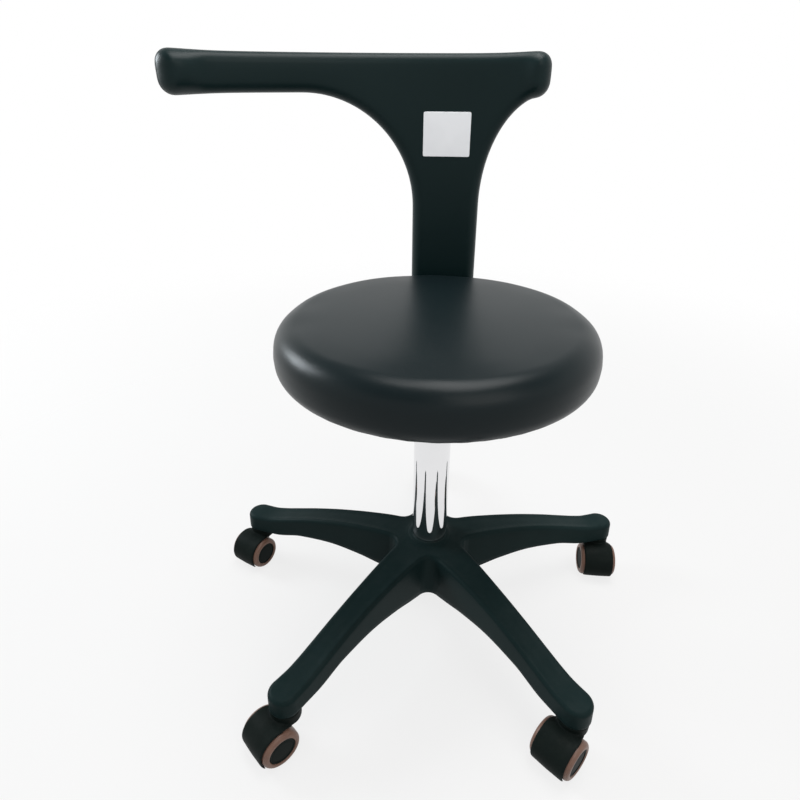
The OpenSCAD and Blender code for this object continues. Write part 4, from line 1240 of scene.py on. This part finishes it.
def bend_back(s, z, out):
    """From the unrolled slab to the row frame. out is positive to the rear."""
    mid = BACK_FRONT + BACK_T / 2
    a = np.array(s) / CURVE_R
    x = (CURVE_R + out) * np.sin(a)
    y = mid - CURVE_R + (CURVE_R + out) * np.cos(a)
    c, k = math.cos(REST_TURN), math.sin(REST_TURN)
    return np.column_stack([column.x + x * c - y * k, column.y + x * k + y * c, z])


def back_mesh():
    pts, inward = np.array(tee), outline_normals(tee)
    n = len(pts)
    depths = EDGE * (1 - np.cos(np.radians([0, 8, 16, 25, 35, 46, 57, 68, 79, 90])))
    half_band = back_offset(pts[:, 0], np.zeros(n), False)
    rings, faces = [], []
    for front in (False, True):
        for d in depths[1:] if front else depths:
            ring = pts + inward * d
            o = back_offset(ring[:, 0], np.full(n, d), front)
            rings.append((ring, -o if front else o, front))
    verts = [bend_back(r[:, 0], r[:, 1], o) for r, o, _ in rings]
    k = len(depths)
    for i in range(k - 1):
        faces += row_band(n, i * n, (i + 1) * n)
    # The front rings start from the outline's own ring, mirrored to the front
    first = np.array(rings[0][0])
    o = back_offset(first[:, 0], np.zeros(n), True)
    verts.insert(k, bend_back(first[:, 0], first[:, 1], -o))
    for low in range(k * n, (2 * k - 1) * n, n):
        faces += band(n, (low, 1), (low, 0), (low + n, 0), (low + n, 1))
    # A fine parting ridge runs round the middle of the edge
    ridge = [(0.0, 0.0007), (-0.00035, 0.00025), (-0.00035, -0.00025), (0.0, -0.0007)]
    first_ridge = 2 * k
    for lift, o in ridge:
        ring = pts + inward * lift
        verts.append(bend_back(ring[:, 0], ring[:, 1], np.clip(o, -half_band, half_band)))
    chain = [0] + [first_ridge + i for i in range(len(ridge))] + [k]
    for low, high in zip(chain, chain[1:]):
        faces += band(n, (low * n, 0), (high * n, 0), (high * n, 1), (low * n, 1))
    for front, row in ((False, k - 1), (True, 2 * k - 1)):
        ring = pts + inward * depths[-1]
        flat, tris = fill_outline(ring, 0.0050)
        extra = flat[n:]
        d = distance_to_outline(extra, tee)
        o = back_offset(extra[:, 0], d, front)
        start = sum(len(v) for v in verts)
        verts.append(bend_back(extra[:, 0], extra[:, 1], -o if front else o))
        faces += [tuple(row * n + i if i < n else start + i - n
                        for i in (reversed(f) if front else f)) for f in tris]
    return np.vstack(verts), faces


back_verts, back_faces = back_mesh()
back = make_piece("back_moulding", back_verts, back_faces, skin_foam, "back", [], "skin_foam",
                  sharp=75)
print("back:", len(back.data.polygons), "faces")

# %% [markdown]
# A recess runs up the rear of the stem, and the steel bar lies in it. It is cut with one boolean,
# because a crisp pocket is what the mould leaves there.

# %% Recess for the bar
def box_turned(low, high):
    """A box in the back's own frame, turned with it."""
    made = solid_box(low, high)
    turn = Matrix.Translation(column) @ Matrix.Rotation(REST_TURN, 4, "Z")
    made.data.transform(turn)
    return made


bar_low, bar_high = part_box("arm_bar")
RECESS_Y, BAR_T, BAR_W, BAR_TOP = 0.230, 0.008, 0.040, bar_high.z
back.parent = None
combine(back, box_turned((-0.021, RECESS_Y, BOTTOM_Z - 0.03), (0.021, 0.30, BAR_TOP + 0.002)),
        "DIFFERENCE")
back.data.polygons.foreach_set("use_smooth", [True] * len(back.data.polygons))
back.data.set_sharp_from_angle(angle=math.radians(50))
finish_piece(back, skin_foam, "back", ["back_pad", "back_frame"], "skin_foam")
print("back after the cut:", len(back.data.polygons), "faces")

# %% [markdown]
# ### The plate on the stem
# A thin metal plate sits on the front of the stem. It is left bare, and it follows the stem's
# curve, so it is a grid of points laid on the front face and given a little thickness.

# %% Plate
def rounded_rectangle(wide, tall, corner, steps=3):
    x, y = wide / 2, tall / 2
    return rounded([(-x, -y), (x, -y), (x, y), (-x, y)], [corner] * 4, steps)


def plate_mesh(wide=0.0668, tall=0.0568, z=0.6576, corner=0.0009, thick=0.0006,
               sunk=0.0003):
    edge = even_out(rounded_rectangle(wide, tall, corner, 6), 0.001)
    ring = np.array(edge)
    flat, tris = fill_outline(ring, 0.004)
    n = len(ring)

    def on_face(p, lift):
        d = distance_to_outline(p + np.array([0, z]), tee)
        o = back_offset(p[:, 0], d, True) + lift
        return bend_back(p[:, 0], p[:, 1] + z, -o)

    inward = outline_normals(edge)
    top = flat.copy()
    top[:n] = ring + inward * 0.0003
    verts = np.vstack([on_face(ring, -sunk), on_face(ring, thick * 0.6), on_face(top, thick)])
    faces = []
    for i in range(2):
        faces += row_band(n, i * n, (i + 1) * n)
    faces += [tuple(2 * n + i for i in f) for f in tris]
    back_face = len(verts)
    verts = np.vstack([verts, on_face(flat[n:], -sunk)])
    faces += [tuple(i if i < n else back_face + i - n for i in reversed(f)) for f in tris]
    return verts, faces


plate = make_piece("stem_plate", *plate_mesh(), plate_metal, "back", ["blank_plate"], "plate")
print("plate:", len(plate.data.polygons), "faces")

# %% [markdown]
# ### The bar, its collar and bolts
# A flat steel bar carries the back. It leaves the collar under the seat, bends once and climbs the
# recess. Its section is swept along that path, with rounded arrises, as bar stock has.

# %% Bent bar
def bar_mesh():
    start_y, low_z = 0.0275, 0.3400
    centre_z, mid_y = low_z + BAR_T / 2, RECESS_Y + BAR_T / 2
    bend = 0.014 + BAR_T / 2
    path = [((0, y), 0.0) for y in np.linspace(start_y, mid_y - bend, 30)]
    path = [(np.array([y, centre_z]), 0.0) for (_, y), _ in path]
    for a in np.linspace(0, math.pi / 2, 13)[1:]:
        path.append((np.array([mid_y - bend + bend * math.sin(a),
                               centre_z + bend * (1 - math.cos(a))]), a))
    for z in np.linspace(centre_z + bend, BAR_TOP, 30)[1:]:
        path.append((np.array([mid_y, z]), math.pi / 2))
    section = rounded_rectangle(BAR_W, BAR_T, 0.0012)
    turn = Matrix.Translation(column) @ Matrix.Rotation(REST_TURN, 4, "Z")
    rings = []
    last = len(path) - 1
    for k, (p, a) in enumerate(path):
        near_end = max(0.0, 0.006 - np.linalg.norm(path[last][0] - p)) / 0.006
        ring = []
        for x, t in section:
            y = p[0] - t * math.sin(a)
            z = p[1] + t * math.cos(a)
            ring.append(tuple(turn @ Vector((x * (1 - 0.06 * near_end), y, z))))
        rings.append(ring)
    return skin_rings(rings)


bar = make_piece("back_bar", *bar_mesh(), powder_coat, "back", ["arm_bar"], "black_steel")
COLLAR_TURN = Matrix.Translation(column) @ Matrix.Rotation(REST_TURN, 4, "Z")
collar_low, collar_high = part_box("arm_collar")
collar_r = (collar_high.x - collar_low.x) / 2
collar = turned("back_collar", rounded([
    (collar_r - 0.00595, collar_low.z), (collar_r, collar_low.z), (collar_r, collar_high.z),
    (collar_r - 0.00595, collar_high.z)], [0.0004, 0.0012, 0.0012, 0.0004]), powder_coat, "back",
    ["arm_collar"], "black_steel")
print("bar and collar made")

# %% [markdown]
# ### Weld beads
# The bar is welded to its collar. A weld is a row of overlapping ripples, so it is swept along the
# joint with a radius that rises and falls.

# %% Weld bead
def bead_mesh(points, radius, ripples, sides=10):
    rings = []
    n = len(points)
    for i, p in enumerate(points):
        ahead = Vector(points[min(i + 1, n - 1)]) - Vector(points[max(i - 1, 0)])
        ahead.normalize()
        side = ahead.cross(Vector((0, 0, 1))).normalized()
        up = side.cross(ahead)
        swell = radius * (1 + 0.14 * math.sin(2 * math.pi * ripples * i / n))
        swell *= math.sqrt(max(0.02, 1 - (2 * i / (n - 1) - 1) ** 12))
        rings.append([tuple(Vector(p) + side * (swell * math.cos(t)) + up * (swell * math.sin(t)))
                      for t in np.linspace(0, 2 * math.pi, sides, endpoint=False)])
    return skin_rings(rings)


def bar_welds():
    parts = []
    for z in (0.3400, 0.3480):
        pts = []
        for a in np.linspace(math.radians(90 - 38), math.radians(90 + 38), 90):
            pts.append(tuple(COLLAR_TURN @ Vector(((collar_r + 0.0007) * math.cos(a),
                                                   (collar_r + 0.0007) * math.sin(a), z))))
        parts.append(bead_mesh(pts, 0.0016, 26))
    return join_lists(parts)


welds = make_piece("bar_welds", *bar_welds(), powder_coat, "back", slot="black_steel")
print("welds:", len(welds.data.polygons), "faces")

# %% [markdown]
# ## Under the seat
# The pan that carries the seat is a steel pressing, the lever is a bent rod with a plastic
# paddle, and the fasteners are plain hardware. Their engineering shapes are right, so those that
# have hard edges are copied, merged and given a small bevel, and the rest keep their own meshes.

# %% Bevelled copies
def bevelled_copy(node, name, material, body, slot, width=0.0008, segments=2):
    """A merged copy of a node's mesh with a small bevel on its sharp edges."""
    source = frame["nodes"][node]
    work = bmesh.new()
    work.from_mesh(source.data)
    bmesh.ops.remove_doubles(work, verts=work.verts, dist=1e-5)
    bmesh.ops.dissolve_limit(work, angle_limit=math.radians(1.0), verts=work.verts,
                             edges=work.edges)
    bmesh.ops.recalc_face_normals(work, faces=work.faces)
    copy = bmesh_object(work, name)
    bevel = copy.modifiers.new("bevel", "BEVEL")
    bevel.width, bevel.segments, bevel.limit_method = width, segments, "ANGLE"
    bevel.angle_limit = math.radians(40)
    bevel.use_clamp_overlap = True
    apply_modifiers(copy)
    copy.data.polygons.foreach_set("use_smooth", [True] * len(copy.data.polygons))
    copy.data.set_sharp_from_angle(angle=math.radians(35))
    return finish_piece(copy, material, body, [node], slot)


for node, name, material, body, slot, width in (
        ("mechanism_pan", "seat_pan", powder_coat, "seat", "black_steel", 0.0010),
        ("back_bolts", "back_bolt_set", steel, "back", "steel", 0.0005),
        ("seat_bolts", "seat_bolt_set", steel, "seat", "steel", 0.0005)):
    made = bevelled_copy(node, name, material, body, slot, width)
    print(name, len(made.data.polygons), "faces")

# %% [markdown]
# ### The lever
# The rod leaves the pan, dips once and ends inside the paddle. Sweeping a circle along a smooth
# path keeps it round through both bends.

# %% Lever rod and paddle
def tube_along(path, radius, sides=20):
    rings = []
    n = len(path)
    for i, p in enumerate(path):
        ahead = (Vector(path[min(i + 1, n - 1)]) - Vector(path[max(i - 1, 0)])).normalized()
        side = Vector((0, 1, 0))
        up = side.cross(ahead).normalized()
        rings.append([tuple(Vector(p) + side * (radius * math.cos(t)) + up * (radius * math.sin(t)))
                      for t in np.linspace(0, 2 * math.pi, sides, endpoint=False)])
    return skin_rings(rings)


pivot_at = Vector(joints["lever_lift"]["pos_m"])
grip_low, grip_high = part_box("lever_grip")
grip_z = (grip_low.z + grip_high.z) / 2


def lever_path():
    xs = np.linspace(pivot_at.x + 0.043, grip_low.x + 0.014, 90)
    drop = pivot_at.z - grip_z
    bend_from, bend_to = column.x - 0.064, column.x - 0.090
    t = np.clip((bend_from - xs) / (bend_from - bend_to), 0, 1)
    zs = pivot_at.z - drop * t * t * (3 - 2 * t)
    return [(x, column.y, z) for x, z in zip(xs, zs)]


rod = make_piece("lever_bent_rod", *tube_along(lever_path(), 0.0039), powder_coat, "lever",
                 ["lever_rod"], "black_steel")
boss = solid_cylinder(0.0062, 0.010, pivot_at, "Y", 48)
finish_piece(boss, powder_coat, "lever", slot="black_steel").name = "lever_boss"


def paddle_mesh():
    """A flattened paddle: super-ellipse sections, widest near its tip."""
    length = grip_high.x - grip_low.x
    rings = []
    for t in np.linspace(0.0, 1.0, 40):
        x = grip_low.x + length * t
        wide = float(smooth_table(t, [0, 0.04, 0.12, 0.3, 0.6, 0.9, 1.0],
                                  [0.004, 0.0078, 0.0104, 0.0108, 0.0088, 0.0070, 0.0058]))
        thick = float(smooth_table(t, [0, 0.04, 0.12, 0.4, 0.8, 0.96, 1.0],
                                   [0.0016, 0.0034, 0.0043, 0.0047, 0.0053, 0.0055, 0.0048]))
        ring = []
        for a in np.linspace(0, 2 * math.pi, 36, endpoint=False):
            c, s = math.cos(a), math.sin(a)
            ring.append((x, column.y + wide * math.copysign(abs(c) ** 0.75, c),
                         grip_z + thick * math.copysign(abs(s) ** 0.75, s)))
        rings.append(ring)
    return skin_rings(rings)


paddle = make_piece("lever_paddle", *paddle_mesh(), black_plastic, "lever", ["lever_grip"],
                    "black_plastic")
print("lever made")

# %% [markdown]
# ## Finishes for the pieces that keep their own shape
# What is left keeps its engineering shape and only needs its finish.

# %% Remaining finishes
kept_finishes = {
    "caster_stems": steel, "piston_rod": steel, "bearing_race": steel, "rubber_buffer": rubber,
    "rod_clip": steel, "ball_cage": brass, "gas_cylinder": powder_coat,
    "taper_socket": powder_coat, "dust_cover": lining, "lever_pivot": steel,
    "collar_circlip": steel, "valve_pin": steel, "collar_bush": acetal,
    "seat_foam": foam, "seat_board": plywood, "tee_nuts": steel, "back_frame": steel,
}
for i in range(1, 6):
    kept_finishes[f"caster_{i}_axle"] = steel
for node, material in kept_finishes.items():
    shown = frame["nodes"][node]
    shown.data.materials.clear()
    shown.data.materials.append(material)
print(len(kept_finishes), "nodes given their finish")

# %% [markdown]
# ## Floor, light and camera
# A pale floor and three large soft lamps, as in a small studio. The floor and the world look white
# to the camera and in the chrome, while the stool is lit at a plain level.

# %% Floor and world
FLOOR_COLOUR, GLOW_SHARE = (0.58, 0.57, 0.56, 1.0), 0.80
WORLD_COLOUR, WORLD_STRENGTH = (0.93, 0.97, 1.0, 1.0), 0.32
FADE_FROM, FADE_TO = 0.55, 2.0
DIM_FROM, DIM_TO = 0.42, 0.72


def seen_by(tree, rays, *kinds):
    """1 where any of the named kinds of ray arrives."""
    seen = rays.outputs[kinds[0]]
    for kind in kinds[1:]:
        seen = maths(tree, "MAXIMUM", seen, rays.outputs[kind])
    return seen


def make_floor():
    floor_mesh = bpy.data.meshes.new("floor")
    v, f = turn_profile([(0.0, 0.0)] + [(r, 0.0) for r in np.linspace(0.05, 2.6, 30)], 96,
                        closed=False)
    floor_mesh.from_pydata(v, [], f)
    if floor_mesh.polygons[0].normal.z < 0:
        floor_mesh.flip_normals()
    floor = bpy.data.objects.new("floor", floor_mesh)
    bpy.context.scene.collection.objects.link(floor)
    paint, tree = blank_material("floor_paint")
    rays = add_node(tree, "ShaderNodeLightPath")
    seen = seen_by(tree, rays, "Is Camera Ray", "Is Glossy Ray", "Is Transmission Ray")
    matt = add_node(tree, "ShaderNodeBsdfDiffuse", Color=FLOOR_COLOUR)
    glow = add_node(tree, "ShaderNodeEmission", Strength=1.0)
    pale = add_node(tree, "ShaderNodeMixShader", maths(tree, "MULTIPLY", seen, GLOW_SHARE),
                    matt.outputs[0], glow.outputs[0])
    # Far from the stool the floor gives way to the white backdrop, so that no horizon shows
    place = add_node(tree, "ShaderNodeTexCoord")
    reach = add_node(tree, "ShaderNodeVectorMath", place.outputs["Object"], operation="LENGTH")
    far = ramp(tree, reach.outputs["Value"], FADE_FROM, FADE_TO,
               interpolation_type="SMOOTHSTEP")
    # From below it is clear, so that the underside can be looked at
    side = add_node(tree, "ShaderNodeNewGeometry")
    unseen = maths(tree, "MAXIMUM", far, side.outputs["Backfacing"])
    clear = add_node(tree, "ShaderNodeBsdfTransparent")
    fade = add_node(tree, "ShaderNodeMixShader", unseen, pale.outputs[0], clear.outputs[0])
    add_node(tree, "ShaderNodeOutputMaterial", Surface=fade.outputs[0])
    floor_mesh.materials.append(paint)


def make_world():
    world = bpy.data.worlds.new("studio")
    bpy.context.scene.world = world
    world.use_nodes = True
    tree = world.node_tree
    tree.nodes.clear()
    rays = add_node(tree, "ShaderNodeLightPath")
    seen = seen_by(tree, rays, "Is Camera Ray", "Is Transmission Ray")
    # What shines sees the backdrop end overhead, where the studio is dim
    where = add_node(tree, "ShaderNodeTexCoord")
    split = add_node(tree, "ShaderNodeSeparateXYZ", where.outputs["Generated"])
    height = ramp(tree, split.outputs["Z"], DIM_FROM, DIM_TO, To_Min=1.0, To_Max=0.0,
                  interpolation_type="SMOOTHSTEP")
    shown = maths(tree, "MULTIPLY", rays.outputs["Is Glossy Ray"], height)
    dim = add_node(tree, "ShaderNodeBackground", Color=WORLD_COLOUR, Strength=WORLD_STRENGTH)
    white = add_node(tree, "ShaderNodeBackground", Color=(1, 1, 1, 1), Strength=1.0)
    blend = add_node(tree, "ShaderNodeMixShader", maths(tree, "MAXIMUM", seen, shown),
                     dim.outputs[0], white.outputs[0])
    add_node(tree, "ShaderNodeOutputWorld", Surface=blend.outputs[0])


make_floor()
make_world()
print("floor and world made")

# %% [markdown]
# Three square lamps stand for a window on the left and two soft boxes. A large lamp gives soft
# edges to the shadows, and the window's cooler colour shows as the bluish highlight on the seat.

# %% Lamps
def soft_lamp(name, place, aim, size, power, colour=(1, 1, 1)):
    data = bpy.data.lights.new(name, "AREA")
    data.shape, data.size, data.energy, data.color = "SQUARE", size, power, colour
    lamp = bpy.data.objects.new(name, data)
    bpy.context.scene.collection.objects.link(lamp)
    lamp.location = place
    lamp.rotation_mode = "QUATERNION"
    lamp.rotation_quaternion = (Vector(aim) - Vector(place)).to_track_quat("-Z", "Y")
    return lamp


soft_lamp("window_left", (-2.05, 0.70, 1.30), (0, 0, 0.45), 0.75, 34, (0.88, 0.95, 1.0))
soft_lamp("overhead", (0.3, 0.4, 2.7), (0, 0, 0.3), 1.5, 50)
soft_lamp("front_right", (1.2, -1.7, 2.3), (0, 0, 0.4), 1.7, 20, (1.0, 0.98, 0.95))
print("lamps made")

# %% [markdown]
# The camera looks down at the stool from in front, from about the height of a standing person's
# chest. Its place is given from the column, and its direction by three turns.

# %% Camera
def make_camera(place, yaw, pitch, roll, lens):
    """yaw turns right from +Y, pitch looks down; both in degrees."""
    y, p, r = (math.radians(v) for v in (yaw, pitch, roll))
    ahead = Vector((math.sin(y) * math.cos(p), math.cos(y) * math.cos(p), -math.sin(p)))
    right = ahead.cross(Vector((0, 0, 1))).normalized()
    up = right.cross(ahead)
    right, up = right * math.cos(r) + up * math.sin(r), up * math.cos(r) - right * math.sin(r)
    data = bpy.data.cameras.new("camera")
    data.lens, data.sensor_width = lens, 36.0
    data.clip_start, data.clip_end = 0.05, 60
    camera = bpy.data.objects.new("camera", data)
    bpy.context.scene.collection.objects.link(camera)
    turn = Matrix((right, up, -ahead)).transposed().to_4x4()
    camera.matrix_world = Matrix.Translation(place) @ turn
    bpy.context.scene.camera = camera
    return camera


make_camera(column + Vector((-0.0198, -0.6915, 0.7285)), -2.05, 28.47, 0.23, 26.89)
scene = bpy.context.scene
scene.view_settings.view_transform = "Standard"
print("camera made")
